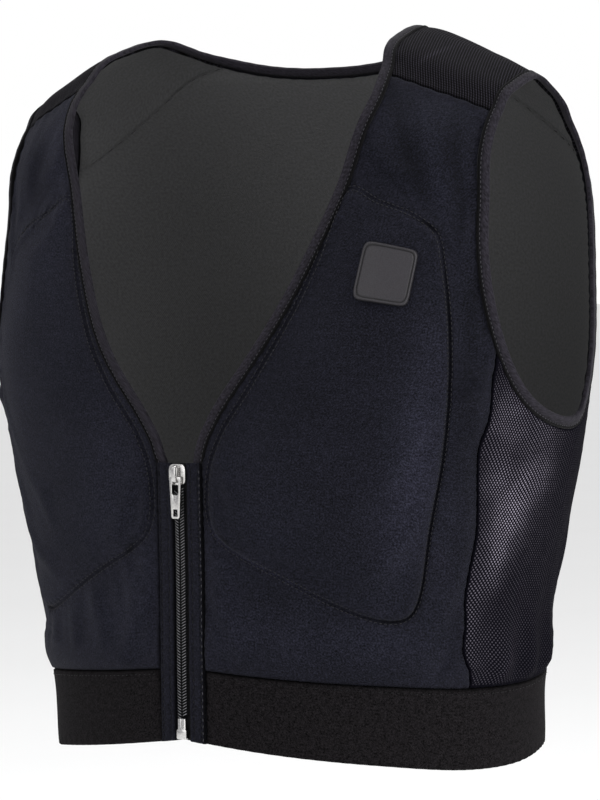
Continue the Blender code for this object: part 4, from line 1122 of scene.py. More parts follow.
def binding_fabric(colours):
    """Charcoal folded elastic with a fine twill."""
    material, tree, shader = new_material("folded_binding", 0.78, 0.07, sheen=0.04)
    place = weave_place(tree)
    parts = add_node(tree, "ShaderNodeSeparateXYZ", {0: place}).outputs
    slant = maths(tree, "ADD", parts[0], parts[1])
    twill = cosine(tree, slant, 0.9)
    grain = noise(tree, place, 1.4, 3.0)
    shade = maths(tree, "MULTIPLY_ADD", twill, 0.08, grain)
    colour = ramp(tree, shade, ((0.32, tone(colours.binding, 0.35)), (0.68, tone(colours.binding, 1.65))))
    tree.links.new(shaded(tree, colour), shader.inputs["Base Color"])
    raise_surface(tree, shader, shade, 0.00012)
    return material


def tape_fabric(colours):
    """Woven zip tape with a herringbone."""
    material, tree, shader = new_material("zip_tape", 0.8, 0.12)
    place = weave_place(tree)
    parts = add_node(tree, "ShaderNodeSeparateXYZ", {0: place}).outputs
    zigzag = maths(tree, "ABSOLUTE", maths(tree, "WRAP", parts[0], 1.1, -1.1))
    weave = cosine(tree, maths(tree, "ADD", zigzag, parts[1]), 0.7)
    colour = ramp(tree, maths(tree, "MULTIPLY_ADD", weave, 0.5, 0.5),
                  ((0.0, tone(colours.tape, 0.6)), (1.0, tone(colours.tape, 1.6))))
    tree.links.new(colour, shader.inputs["Base Color"])
    raise_surface(tree, shader, weave, 0.00008)
    return material


def thread_finish(colours, share=1.0):
    """Polyester thread with a faint twist."""
    material, tree, shader = new_material("thread", 0.55, 0.2)
    place = object_place(tree)
    dark, light = tone(colours.thread, 0.6 * share), tone(colours.thread, 1.6 * share)
    colour = ramp(tree, noise(tree, place, 0.5), ((0.3, dark), (0.7, light)))
    tree.links.new(colour, shader.inputs["Base Color"])
    return material


def pale_thread_finish(colours):
    """The same thread, paler, for the bindings and the left facing's outer seam."""
    return thread_finish(colours, 2.4)


def dark_thread_finish(colours):
    """The same thread, nearly black, for the hem and the facings' rows."""
    return thread_finish(colours, 0.3)


def coil_finish(colours):
    """Dark polyester coil with a dull shine."""
    material, tree, shader = new_material("zip_coil", 0.30, 0.05, metallic=0.8)
    place = object_place(tree)
    side = maths(tree, "ABSOLUTE", add_node(tree, "ShaderNodeSeparateXYZ", {0: place}).outputs[0])
    # Painted shade where the two rows meet in the middle and at their outer ends
    bright = ramp(tree, maths(tree, "MULTIPLY", side, 0.25),
                  ((0.06, (0.03,) * 3), (0.22, (1.0,) * 3), (0.68, (1.0,) * 3), (0.80, (0.10,) * 3)))
    worn = ramp(tree, noise(tree, place, 0.8),
                ((0.3, tone(colours.coil, 0.7)), (0.7, tone(colours.coil, 1.3))))
    colour = add_node(tree, "ShaderNodeVectorMath", {0: worn, 1: bright}, operation="MULTIPLY").outputs[0]
    tree.links.new(shaded(tree, colour), shader.inputs["Base Color"])
    raise_surface(tree, shader, noise(tree, place, 0.2), 0.00002)
    return material


def nickel_finish(colours):
    """Bright nickel plate with faint wear."""
    material, tree, shader = new_material("nickel_plate", 0.2, 0.5, metallic=1.0)
    place = object_place(tree)
    wear = noise(tree, place, 1.1, 4.0)
    colour = ramp(tree, wear, ((0.3, tone(colours.nickel, 0.80)), (0.7, tone(colours.nickel, 1.08))))
    tree.links.new(colour, shader.inputs["Base Color"])
    rough = add_node(tree, "ShaderNodeMapRange", {"Value": wear, "To Min": 0.12, "To Max": 0.30}).outputs[0]
    tree.links.new(rough, shader.inputs["Roughness"])
    raise_surface(tree, shader, noise(tree, place, 0.35), 0.00001)
    return material


def rubber_finish(colours):
    """Soft satin rubber."""
    material, tree, shader = new_material("soft_rubber", 0.48, 0.30)
    place = object_place(tree)
    grain = noise(tree, place, 0.6, 3.0)
    colour = ramp(tree, grain, ((0.3, tone(colours.rubber, 0.75)), (0.7, tone(colours.rubber, 1.25))))
    tree.links.new(shaded(tree, colour), shader.inputs["Base Color"])
    raise_surface(tree, shader, grain, 0.00004)
    return material


def foam_finish(colours):
    """Lined foam: a plain charcoal knit that needs no weave map."""
    material, tree, shader = new_material("foam_lining", 0.9, 0.05, sheen=0.05)
    place = object_place(tree)
    grain = noise(tree, place, 1.2, 3.0)
    colour = ramp(tree, grain, ((0.3, tone(colours.lining, 0.9)), (0.7, tone(colours.lining, 1.25))))
    tree.links.new(colour, shader.inputs["Base Color"])
    raise_surface(tree, shader, grain, 0.0001)
    return material


def floor_finish(colours):
    """Plain pale floor."""
    material, tree, shader = new_material("pale_floor", 0.9, 0.1)
    place = object_place(tree)
    colour = ramp(tree, noise(tree, place, 300.0),
                  ((0.3, tone(colours.floor, 0.99)), (0.7, tone(colours.floor, 1.0))))
    tree.links.new(colour, shader.inputs["Base Color"])
    return material


FINISHES = {
    "navy": stretch_fabric, "lining": lining_fabric, "rib": rib_fabric, "mesh": mesh_fabric,
    "elastic": elastic_fabric, "binding": binding_fabric, "tape": tape_fabric, "thread": thread_finish,
    "pale_thread": pale_thread_finish, "dark_thread": dark_thread_finish,
    "coil": coil_finish, "nickel": nickel_finish, "rubber": rubber_finish, "foam": foam_finish,
    "floor": floor_finish,
}
made_finishes = {}


def finish_of(name):
    """A finish's material, made once."""
    if name not in made_finishes:
        made_finishes[name] = FINISHES[name](bpy.context.scene.vest_colours)
    return made_finishes[name]


# Threads


def stitch_places(points, normals, pitch, sizes):
    """Places of stitches along a line, each a matrix that lays the stitch along the line."""
    steps = np.linalg.norm(np.diff(points, axis=0), axis=1)
    along = np.concatenate([[0], np.cumsum(steps)])
    middles = np.arange(pitch / 2, along[-1] - pitch / 2, pitch)

    def read(values, at):
        return np.stack([np.interp(at, along, values[:, k]) for k in range(3)], -1)
    middle = read(points, middles)
    tangent = read(points, middles + pitch / 4) - read(points, middles - pitch / 4)
    tangent = tangent / np.linalg.norm(tangent, axis=1, keepdims=True)
    normal = read(normals, middles)
    side = np.cross(normal, tangent)
    side = side / np.linalg.norm(side, axis=1, keepdims=True)
    normal = np.cross(tangent, side)
    places = np.zeros((len(middles), 4, 4))
    places[:, :3, 0] = tangent * sizes.stitch_length
    places[:, :3, 1] = side * sizes.stitch_width
    places[:, :3, 2] = normal * sizes.stitch_width
    places[:, :3, 3] = middle
    places[:, 3, 3] = 1
    return places


def thread_piece(name, lines, sizes, finish="thread"):
    """Many stitches joined in one mesh, from lines of points, normals and pitch."""
    bm = bmesh.new()
    bmesh.ops.create_uvsphere(bm, u_segments=6, v_segments=4, radius=0.5)
    base = bpy.data.meshes.new("stitch")
    bm.to_mesh(base)
    bm.free()
    joined = bmesh.new()
    for points, normals, pitch in lines:
        for place in stitch_places(points, normals, pitch, sizes):
            stitch = base.copy()
            stitch.transform(Matrix(place.tolist()))
            joined.from_mesh(stitch)
            bpy.data.meshes.remove(stitch)
    bpy.data.meshes.remove(base)
    for face in joined.faces:
        face.smooth = True
    piece = finished(name, joined)
    return dress(piece, [finish_of(finish)], ())


def surface_line(surface, across, up, side, lift=0.0):
    """Points and normals along a line of shares on a surface."""
    step = 1e-3
    point = surface(across, up, -lift)
    u = surface(np.clip(across + step, 0, 1), up, -lift) - surface(np.clip(across - step, 0, 1), up, -lift)
    w = surface(across, np.clip(up + step, 0, 1), -lift) - surface(across, np.clip(up - step, 0, 1), -lift)
    normal = np.cross(u, w)
    normal = normal / np.linalg.norm(normal, axis=1, keepdims=True)
    flip = np.array([side, 1, 1])
    return point * flip, normal * flip


# Surfaces that more than one operator needs


def front_lift(side, sizes):
    """Height of a front panel over the form."""
    def at(girth, level):
        return relief(girth, level) + creases(girth, level, side) + pad_relief(girth, level, sizes)
    return at


def plain_lift(girth, level):
    return relief(girth, level)


def binding_frames(girth, level, closed, count):
    """Seam points, sideways and normal directions along a seam, by shares of its length."""
    line = form_point(girth, level)
    steps = np.linalg.norm(np.diff(line, axis=0), axis=1)
    along = np.concatenate([[0], np.cumsum(steps)]) / steps.sum()
    at = np.interp(np.linspace(0, 1, count + 1), along, np.arange(len(along)))
    normals = form_normal(girth, level)
    seam = np.stack([np.interp(at, np.arange(len(along)), line[:, k]) for k in range(3)], -1)
    normal = np.stack([np.interp(at, np.arange(len(along)), normals[:, k]) for k in range(3)], -1)
    if closed:
        normal[-1] = normal[0] = (normal[-1] + normal[0]) / 2
        tangent = np.roll(seam[:-1], -1, axis=0) - np.roll(seam[:-1], 1, axis=0)
        tangent = np.vstack([tangent, tangent[:1]])
    else:
        tangent = np.gradient(seam, axis=0)
    sideways = np.cross(normal, tangent)
    sideways = sideways / np.linalg.norm(sideways, axis=1, keepdims=True)
    normal = np.cross(tangent, sideways)
    normal = normal / np.linalg.norm(normal, axis=1, keepdims=True)
    return seam, sideways, normal, steps.sum()


def binding_surface(girth, level, closed, sizes, count=600):
    """A folded binding's surface: a rounded open edge, a sewn groove and a thin ridge at the seam."""
    seam, sideways, normal, length = binding_frames(girth, level, closed, count)
    shares = np.linspace(0, 1, count + 1)

    def read(values, up):
        return np.stack([np.interp(up, shares, values[:, k]) for k in range(3)], -1)

    def at(across, up, depth):
        swell = np.sqrt(np.clip(1 - (2 * across - 1)**2, 0, 1))
        half = sizes.binding_wall / 2 * (0.42 + 0.58 * swell**0.7)
        groove = 0.00045 * np.exp(-((across - 0.74) / 0.07)**2)
        ridge = 0.00030 * np.exp(-((across - 0.90) / 0.05)**2)
        wobble = 0.00007 * np.cos(2 * math.pi * np.rint(length / 0.011) * up + 2 * np.sin(14 * math.pi * up))
        outer = np.asarray(depth) <= 0
        lift = 0.0004 - sizes.binding_wall / 2 + np.where(outer, half - groove + ridge + wobble, -half)
        lift = lift - np.where(outer, depth, 0.0)
        if not closed:
            lift = lift - END_DROP * np.clip(1 - np.minimum(up, 1 - up) * length / END_REACH, 0, 1)
        reach = (sizes.binding_width + BINDING_TUCK) * (1 - across) - BINDING_TUCK
        return read(seam, up) + read(sideways, up) * reach[:, None] + read(normal, up) * lift[:, None]
    return at


def binding_shade(across, up):
    """Painted shade along a binding's seam and its sewn groove, and a painted highlight at its rolled edge.
    """
    return 1.05 * np.clip((across - 0.66) / 0.08, 0, 1) - 0.45 * np.exp(-((across - 0.22) / 0.22)**2)


def neck_line():
    """The neck seam from side to side, with its ends run on under the facings."""
    girth, level = neck_track(np.linspace(0, len(NECK_SEAM) - 1, 600))
    run_on = np.linspace(END_RUN / SHOULDER_HEIGHT, 0, 12)[:-1]
    girth = np.concatenate([np.full(len(run_on), girth[0]), girth])
    level = np.concatenate([level[0] - run_on, level])
    return np.concatenate([girth, -girth[-2::-1]]), np.concatenate([level, level[-2::-1]])


def armhole_line():
    return armhole_track(np.linspace(0, len(ARMHOLE) - 1, 800))


def strip_surface(start, end, low, high, lift):
    """An upright strip beside the centre front, between two sideways places and two levels."""
    def at(across, up, depth):
        level = low + (high - low) * up
        x = start + (end - start) * across
        return on_form(girth_at(level, x), level, lift(across, up) - depth)
    return at


ZIP_TOP = NECK_SEAM[0][1] - SEAM_GAP / SHOULDER_HEIGHT


# Operators


class VEST_OT_front_panels(bpy.types.Operator):
    """Make both front panels, which rise over the pads and settle between their seams"""

    bl_idname = "vest.front_panels"
    bl_label = "Front Panels"

    def execute(self, context):
        sizes = context.scene.vest_sizes
        patch = shrunk(front_patch)
        for side, word in ((1, "left"), (-1, "right")):
            lift = front_lift(side, sizes)
            drawn = cloth_surface(front_patch, lift)

            def held(girth, level):
                return np.abs(pad_depth(girth, level)[0]) < sizes.channel_width
            off = settled(patch, drawn, 58, 110, held, sizes)

            def surface(across, up, depth):
                girth, level = patch(across, up)
                height = lift(girth, level) - edge_turn(front_patch, across, up) + off(across, up)
                return on_form(girth, level, height - depth)

            def near(across, up):
                return np.abs(pad_depth(*patch(across, up))[0])

            def shade(across, up):
                girth, level = patch(across, up)
                depth = pad_depth(girth, level)[0]
                # Painted shade in the channel round the pad and beside the seams, with painted light and fold
                # shade from the table laid over it
                groove = np.exp(-(depth / (GROOVE_SHARE * sizes.channel_width))**2)
                groove = groove * channel_painted_shade(girth, level, side)
                seam = seam_shade(front_patch, across, up) * np.where(up > 0.985, 0.4, 1.0)
                dark = groove + seam * (1 - np.clip(groove, 0, 1))
                light = front_painted_light(girth, level, side)
                return dark - light * np.clip(1 - dark, 0, 1)
            piece = cloth_mesh("front_cloth_" + word, (66, 150), surface, sizes.cloth_wall, side, near=near,
                               shade=shade)
            dress(piece, [finish_of("navy"), finish_of("lining")], ["front_panel_" + word])
        return {"FINISHED"}


def pad_surface():
    """Outer and inner faces of a foam pad from shares across and up."""
    number = np.arange(len(PAD_OUTLINE) + 1, dtype=float)
    girth, level = (np.append(table_column(PAD_OUTLINE, PAD_OUTLINE_COLUMNS, name),
                              PAD_OUTLINE[0][PAD_OUTLINE_COLUMNS.index(name)]) for name in ("girth", "level"))

    def stretch(first, last):
        return lambda share: (np.interp(first + (last - first) * share, number, girth),
                              np.interp(first + (last - first) * share, number, level))
    upper_outer, lower_outer, lower_inner, count = 3, 10, 15, len(PAD_OUTLINE)
    patch = coons(stretch(lower_inner, lower_outer), stretch(0, upper_outer),
                  stretch(lower_inner, count), stretch(lower_outer, upper_outer))

    def at(across, up, depth):
        edge = PAD_INSET_SHARE
        g, lev = patch(edge + (1 - 2 * edge) * across, edge / 2 + (1 - edge) * up)
        behind = context_sizes().cloth_wall + PAD_CLEARANCE
        rise = pad_rise(pad_depth(g, lev)[0], g) * PAD_FILL
        return on_form(g, lev, np.where(np.asarray(depth) <= 0, rise, -PAD_BACK) - behind)
    return at


def context_sizes():
    return bpy.context.scene.vest_sizes


class VEST_OT_chest_pads(bpy.types.Operator):
    """Make the foam pads behind the front panels"""

    bl_idname = "vest.chest_pads"
    bl_label = "Chest Pads"

    def execute(self, context):
        for side, word in ((1, "left"), (-1, "right")):
            piece = cloth_mesh("foam_pad_" + word, (36, 64), pad_surface(), PAD_BACK, side,
                               crowding=(0.0, 0.0))
            remesh = piece.modifiers.new("even", "REMESH")
            remesh.mode = "VOXEL"
            remesh.voxel_size = 0.0022
            apply_modifiers(piece)
            start = np.empty(len(piece.data.vertices) * 3)
            piece.data.vertices.foreach_get("co", start)
            cloth = piece.modifiers.new("puff", "CLOTH")
            cloth.settings.use_pressure = True
            cloth.settings.uniform_pressure_force = PUFF_PRESSURE
            cloth.settings.effector_weights.gravity = 0
            cloth.collision_settings.use_collision = False
            for number in range(1, PUFF_FRAMES + 1):
                bpy.context.scene.frame_set(number)
            apply_modifiers(piece)
            moved = np.empty(len(start))
            piece.data.vertices.foreach_get("co", moved)
            off = (moved - start).reshape(-1, 3)
            length = np.linalg.norm(off, axis=1, keepdims=True)
            capped = off * np.minimum(1, PAD_CAP / np.maximum(length, 1e-9))
            piece.data.vertices.foreach_set("co", (start.reshape(-1, 3) + capped).ravel())
            bpy.context.scene.frame_set(1)
            piece.data.shade_smooth()
            dress(piece, [finish_of("foam")], ["chest_pad_" + word])
        return {"FINISHED"}


def apply_modifiers(piece):
    """Replaces a piece's mesh by what its modifiers make of it."""
    evaluated = piece.evaluated_get(bpy.context.evaluated_depsgraph_get())
    mesh = bpy.data.meshes.new_from_object(evaluated)
    piece.modifiers.clear()
    piece.data = mesh


class VEST_OT_back_panel(bpy.types.Operator):
    """Make the back panel"""

    bl_idname = "vest.back_panel"
    bl_label = "Back Panel"

    def execute(self, context):
        sizes = context.scene.vest_sizes
        patch = shrunk(back_patch)
        drawn = cloth_surface(back_patch, plain_lift)
        off = settled(patch, drawn, 90, 84, lambda girth, level: np.zeros(girth.shape, bool), sizes)

        def surface(across, up, depth):
            return drawn(across, up, depth - off(across, up))

        def shade(across, up):
            return seam_shade(back_patch, across, up)
        piece = cloth_mesh("back_cloth", (150, 130), surface, sizes.cloth_wall, shade=shade)
        dress(piece, [finish_of("navy"), finish_of("lining")], ["back_panel"])
        return {"FINISHED"}


def mesh_painted_light(across, up):
    """Painted light and shade on the mesh's dots: under 0 painted brighter, over 0 darker, with painted shade
    beside its seams.
    """
    girth, level = side_patch(across, up)
    lit_amount = np.zeros(np.shape(girth))
    for girth_0, level_0, girth_reach, level_reach, amount in PAINTED_LIGHT_SPOTS:
        off = ((girth - girth_0) / girth_reach)**2 + ((level - level_0) / level_reach)**2
        lit_amount = lit_amount + amount * np.exp(-off)
    return 1 - np.clip(lit_amount, 0, 1.6) + 0.8 * seam_shade(side_patch, across, up)


class VEST_OT_side_meshes(bpy.types.Operator):
    """Make the mesh sides, gathered above the hem"""

    bl_idname = "vest.side_meshes"
    bl_label = "Mesh Sides"

    def execute(self, context):
        sizes = context.scene.vest_sizes
        for side, word in ((1, "left"), (-1, "right")):
            surface = cloth_surface(side_patch, plain_lift)
            piece = cloth_mesh("mesh_cloth_" + word, (70, 110), surface, sizes.mesh_wall, side,
                               shade=mesh_painted_light)
            dress(piece, [finish_of("mesh"), finish_of("lining")], ["side_mesh_" + word])
        return {"FINISHED"}


class VEST_OT_yokes(bpy.types.Operator):
    """Make the ribbed shoulder yokes"""

    bl_idname = "vest.yokes"
    bl_label = "Shoulder Yokes"

    def execute(self, context):
        sizes = context.scene.vest_sizes
        for side, word in ((1, "left"), (-1, "right")):
            surface = cloth_surface(yoke_patch, plain_lift)

            def shade(across, up):
                # Painted shade beside the yoke's seams, and a painted highlight along a diagonal crease
                painted_highlight = bump(np.stack([across * 0.100 - 0.028, up * 0.088 - 0.030], -1), 0.012, 0.0014, 62.0)
                return 0.4 * seam_shade(yoke_patch, across, up, 0.0008) - 1.4 * painted_highlight
            piece = cloth_mesh("yoke_cloth_" + word, (50, 46), surface, sizes.cloth_wall, side, shade=shade)
            dress(piece, [finish_of("rib"), finish_of("lining")], ["shoulder_yoke_" + word])
        return {"FINISHED"}


class VEST_OT_hem_band(bpy.types.Operator):
    """Make the hem elastic"""

    bl_idname = "vest.hem_band"
    bl_label = "Hem Band"

    def execute(self, context):
        sizes = context.scene.vest_sizes
        surface = cloth_surface(hem_patch, plain_lift)

        def shade(across, up):
            return seam_shade(hem_patch, across, up) * (up > 0.5)
        piece = cloth_mesh("hem_elastic_band", (420, 22), surface, sizes.hem_wall, shade=shade,
                           crowding=(0.0, EDGE_CROWDING))
        dress(piece, [finish_of("elastic"), finish_of("lining")], ["hem_band"])
        return {"FINISHED"}


class VEST_OT_bindings(bpy.types.Operator):
    """Make the folded bindings of the neck and the armholes"""

    bl_idname = "vest.bindings"
    bl_label = "Bindings"

    def execute(self, context):
        sizes = context.scene.vest_sizes
        surface = binding_surface(*neck_line(), False, sizes)
        piece = cloth_mesh("neck_fold", (16, 420), surface, sizes.binding_wall, shade=binding_shade,
                           crowding=(EDGE_CROWDING, 0.0))
        dress(piece, [finish_of("binding"), finish_of("binding")], ["neck_binding"])
        for side, word in ((1, "left"), (-1, "right")):
            surface = binding_surface(*armhole_line(), True, sizes)
            piece = cloth_mesh("armhole_fold_" + word, (16, 330), surface, sizes.binding_wall, side,
                               closed=True, shade=binding_shade, crowding=(EDGE_CROWDING, 0.0))
            dress(piece, [finish_of("binding"), finish_of("binding")], ["armhole_binding_" + word])
        return {"FINISHED"}


def facing_lift(across, up):
    """A facing's height: folded at its inner edge, turned in at its seam, with a sewn row near it."""
    swell = 0.0009 * (1 - np.clip(1 - across / 0.14, 0, 1)**2)
    seam = 0.0011 * (1 - np.sqrt(1 - np.clip((across - 0.88) / 0.12, 0, 1)**2))
    row = 0.00035 * np.exp(-((across - 0.80) / 0.05)**2) + 0.00030 * np.exp(-((across - 0.30) / 0.06)**2)
    ripple = 0.00012 * np.cos(84 * up + 3 * np.sin(17 * up))
    return 0.0004 - 0.0009 + swell - seam - row + ripple


def facing_shade(across, up):
    """Painted shade at a facing's folded edge, its sewn rows and its outer seam."""
    rows = 0.55 * np.exp(-((across - 0.80) / 0.05)**2) + 0.45 * np.exp(-((across - 0.30) / 0.05)**2)
    edges = np.exp(-(across / 0.07)**2) + 1.1 * np.clip((across - 0.88) / 0.06, 0, 1)
    return rows + edges


class VEST_OT_zip_strips(bpy.types.Operator):
    """Make the facings beside the zip and its woven tapes"""

    bl_idname = "vest.zip_strips"
    bl_label = "Zip Facings and Tapes"

    def execute(self, context):
        for side, word in ((1, "left"), (-1, "right")):
            surface = strip_surface(FACING_INNER, FACING_OUTER - SHOW_GAP, 0.0, ZIP_TOP, facing_lift)
            piece = cloth_mesh("facing_cloth_" + word, (20, 170), surface, 0.0018, side, shade=facing_shade,
                               crowding=(0.3, 0.0))
            dress(piece, [finish_of("navy"), finish_of("lining")], ["zip_facing_" + word])

            def flat_lift(across, up):
                return np.full_like(across, -0.0019)
            surface = strip_surface(SEAM_GAP / 2, TAPE_WIDTH, 0.0, ZIP_TOP, flat_lift)
            piece = cloth_mesh("tape_cloth_" + word, (6, 80), surface, 0.0008, side, crowding=(0.0, 0.0))
            dress(piece, [finish_of("tape"), finish_of("tape")], ["zip_tape_" + word])
        return {"FINISHED"}


class VEST_OT_zip_coils(bpy.types.Operator):
    """Make the two closed rows of the zip's coil"""

    bl_idname = "vest.zip_coils"
    bl_label = "Zip Coils"

    def execute(self, context):
        sizes = context.scene.vest_sizes
        low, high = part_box("zip_chain")
        turns = int((high[2] - low[2]) / sizes.coil_pitch) - 1
        joined = bmesh.new()
        for side in (1, -1):
            bm = bmesh.new()
            ring = bmesh.ops.create_circle(bm, segments=COIL_SIDES, radius=COIL_WIRE)["verts"]
            bmesh.ops.rotate(bm, verts=ring, matrix=Matrix.Rotation(math.pi / 2, 3, "X"))
            bmesh.ops.translate(bm, verts=ring, vec=(COIL_RADIUS, 0, 0))
            bmesh.ops.spin(bm, geom=bm.edges[:], axis=(0, 0, 1), cent=(0, 0, 0),
                           angle=side * 2 * math.pi * turns, dvec=(0, 0, sizes.coil_pitch / COIL_STEPS),
                           steps=COIL_STEPS * turns, use_duplicate=False)
            ends = [edge for edge in bm.edges if edge.is_boundary]
            bmesh.ops.holes_fill(bm, edges=ends, sides=COIL_SIDES)
            bmesh.ops.recalc_face_normals(bm, faces=bm.faces[:])
            x, y, z = np.array([vert.co for vert in bm.verts]).T
            # Painted shade on each tooth's upper and lower sides, leaving a painted highlight along its
            # middle, and on the back half of each turn
            off = (z / sizes.coil_pitch - side * np.arctan2(y, x) / (2 * math.pi) + 0.5) % 1 - 0.5
            ridge = BLACK * np.abs(off) * sizes.coil_pitch / COIL_SHADE_REACH
            dark = np.maximum(ridge, (COIL_SQUASH[1] * y + 0.0005) / 0.0004)
            bmesh.ops.scale(bm, verts=bm.verts[:], vec=COIL_SQUASH)
            shift = (side * COIL_OFF, 0, low[2] + sizes.coil_pitch * (0.75 if side > 0 else 0.25))
            bmesh.ops.translate(bm, verts=bm.verts[:], vec=shift)
            x, y, z = np.array([vert.co for vert in bm.verts]).T
            shade = bm.verts.layers.float.new("shade")
            for vert, value in zip(bm.verts, np.clip(dark, 0, BLACK)):
                vert[shade] = value
            level = level_at_height(z)
            lean = (np.abs(x) - CHAIN_WIDTH / 4) * COIL_LEAN
            for vert, place in zip(bm.verts, on_form(girth_at(level, x), level, -0.0002 - y)):
                vert.co = Vector(place)
            for vert, rise in zip(bm.verts, lean):
                vert.co.z += rise
            part = bpy.data.meshes.new("coil_row")
            bm.to_mesh(part)
            bm.free()
            joined.from_mesh(part)
            bpy.data.meshes.remove(part)
        for face in joined.faces:
            face.smooth = True
        piece = finished("zip_coil_rows", joined)
        dress(piece, [finish_of("coil")], ["zip_chain"])
        return {"FINISHED"}


def rounded_copy(node, name, width):
    """A copy of a metal node with its faces merged and its sharp edges rounded."""
    bm = bmesh.new()
    bm.from_mesh(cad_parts[node].data)
    bmesh.ops.remove_doubles(bm, verts=bm.verts[:], dist=0.000004)
    bmesh.ops.dissolve_limit(bm, angle_limit=0.02, verts=bm.verts[:], edges=bm.edges[:])
    sharp = [edge for edge in bm.edges if edge.is_manifold and edge.calc_face_angle(0.0) > 0.6]
    bmesh.ops.bevel(bm, geom=sharp, offset=width, segments=2, affect="EDGES", profile=0.5, material=-1,
                    clamp_overlap=True)
    for face in bm.faces:
        face.smooth = True
    piece = finished(name, bm)
    piece.data.set_sharp_from_angle(angle=math.radians(35))
    return piece


class VEST_OT_zip_metal(bpy.types.Operator):
    """Make the slider, the pull and the box from their nodes, with rounded edges"""

    bl_idname = "vest.zip_metal"
    bl_label = "Slider, Pull and Box"

    def execute(self, context):
        width = context.scene.vest_sizes.edge_bevel
        for node, name, body in (("zip_slider", "slider_body", "vest"), ("zip_pull", "pull_tab", "pull"),
                                 ("zip_box", "box_and_pins", "vest")):
            piece = rounded_copy(node, name, width)
            dress(piece, [finish_of("nickel")], [node], body)
        return {"FINISHED"}


class VEST_OT_badge(bpy.types.Operator):
    """Make the bare rubber badge with its raised rim"""

    bl_idname = "vest.badge"
    bl_label = "Badge"

    def execute(self, context):
        surface = badge_surface(context.scene.vest_sizes)

        def shade(across, up):
            # Painted shade in the groove inside the rim and on the badge's outer edge
            ring = np.maximum(np.abs(2 * across - 1), np.abs(2 * up - 1))
            return 1.0 * np.exp(-((ring - 0.895) / 0.022)**2) + 1.0 * np.clip((ring - 0.972) / 0.02, 0, 1)
        piece = cloth_mesh("badge_plate", (64, 64), surface, 0.0020, shade=shade, crowding=(0.25, 0.25))
        dress(piece, [finish_of("rubber"), finish_of("rubber")], ["badge"])
        return {"FINISHED"}


def badge_surface(sizes):
    """The badge's rounded square on the panel, its rim, the groove inside it and its flat face."""
    half_width, half_height, wall, turn = 0.0145, 0.0158, 0.0020, math.radians(-6.0)
    girth_0, level_0 = np.array(38.0), np.array(0.658)
    side = form_point(girth_0 + 1, level_0) - form_point(girth_0 - 1, level_0)
    rise = form_point(girth_0, level_0 + 0.01) - form_point(girth_0, level_0 - 0.01)
    for_each_degree = float(np.linalg.norm(side)) / 2
    for_each_level = float(np.linalg.norm(rise)) / 0.02
    lift = front_lift(1, sizes)

    def at(across, up, depth):
        u, w = 2 * across - 1, 2 * up - 1
        ring = np.maximum(np.abs(u), np.abs(w))
        angle = np.arctan2(w, u)
        corner = (np.abs(np.cos(angle))**8 + np.abs(np.sin(angle))**8)**(-1 / 8)
        x = ring * corner * np.cos(angle) * half_width
        z = ring * corner * np.sin(angle) * half_height
        x, z = x * math.cos(turn) - z * math.sin(turn), x * math.sin(turn) + z * math.cos(turn)
        girth, level = girth_0 + x / for_each_degree, level_0 + z / for_each_level
        outer = np.asarray(depth) <= 0
        edge = 0.0009 * np.clip((ring - 0.95) / 0.05, 0, 1)**2
        rim = 0.00050 * np.exp(-((ring - 0.942) / 0.030)**4)
        groove = 0.00055 * np.exp(-((ring - 0.895) / 0.022)**2)
        height = SEAM_GAP + np.where(outer, wall + rim - edge - groove, 0.0)
        return on_form(girth, level, lift(girth, level) + height)
    return at


class VEST_OT_stitches(bpy.types.Operator):
    """Sew the stitch rows of the pads, the bindings, the facings and the seams"""

    bl_idname = "vest.stitches"
    bl_label = "Stitches"

    def execute(self, context):
        sizes = context.scene.vest_sizes
        proud = sizes.stitch_width * STITCH_PROUD
        for side, word in ((1, "left"), (-1, "right")):
            lines = []
            start, end = PAD_LINE, np.roll(PAD_LINE, -1, axis=0)
            outwards = np.stack([(end - start)[:, 1], -(end - start)[:, 0]], -1)
            outwards = outwards / np.linalg.norm(outwards, axis=1, keepdims=True)
            for offset in (-sizes.channel_width * ROW_OFF, sizes.channel_width * ROW_OFF):
                plan = np.vstack([PAD_LINE + outwards * offset, (PAD_LINE + outwards * offset)[:1]])
                fine = np.linspace(0, len(plan) - 1, 1200)
                girth = np.interp(fine, np.arange(len(plan)), plan[:, 0]) / GIRTH_LENGTH
                level = np.interp(fine, np.arange(len(plan)), plan[:, 1]) / SHOULDER_HEIGHT
                lift = front_lift(side, sizes)(girth, level) + proud
                flip = np.array([side, 1, 1])
                points, normals = on_form(girth, level, lift) * flip, form_normal(girth, level) * flip
                lines.append((points, normals, PITCHES["pad"]))
            thread_piece("pad_stitches_" + word, lines, sizes)
        lines = []
        surface = binding_surface(*neck_line(), False, sizes)
        up = np.linspace(0.002, 0.998, 1200)
        lines.append((*surface_line(surface, np.full(1200, 0.74), up, 1, proud), PITCHES["binding"]))
        for side in (1, -1):
            surface = binding_surface(*armhole_line(), True, sizes)
            row = surface_line(surface, np.full(1200, 0.74), up, side, proud)
            lines.append((*row, PITCHES["binding"]))
        surface = strip_surface(FACING_INNER, FACING_OUTER - SHOW_GAP, 0.0, ZIP_TOP, facing_lift)
        row = surface_line(surface, np.full(600, 0.90), up[::2], 1, proud)
        lines.append((*row, PITCHES["facing edge"]))
        thread_piece("binding_stitches", lines, sizes, "pale_thread")
        lines = []
        for side in (1, -1):
            surface = strip_surface(FACING_INNER, FACING_OUTER - SHOW_GAP, 0.0, ZIP_TOP, facing_lift)
            for share in (0.30, 0.80):
                row = surface_line(surface, np.full(600, share), up[::2], side, proud)
                lines.append((*row, PITCHES["facing"]))
        surface = cloth_surface(hem_patch, plain_lift)
        across = np.linspace(0.002, 0.998, 3000)
        row = surface_line(surface, across, np.full(3000, 0.93), 1, proud)
        lines.append((*row, PITCHES["hem"]))
        thread_piece("hem_and_zip_stitches", lines, sizes, "dark_thread")
        return {"FINISHED"}


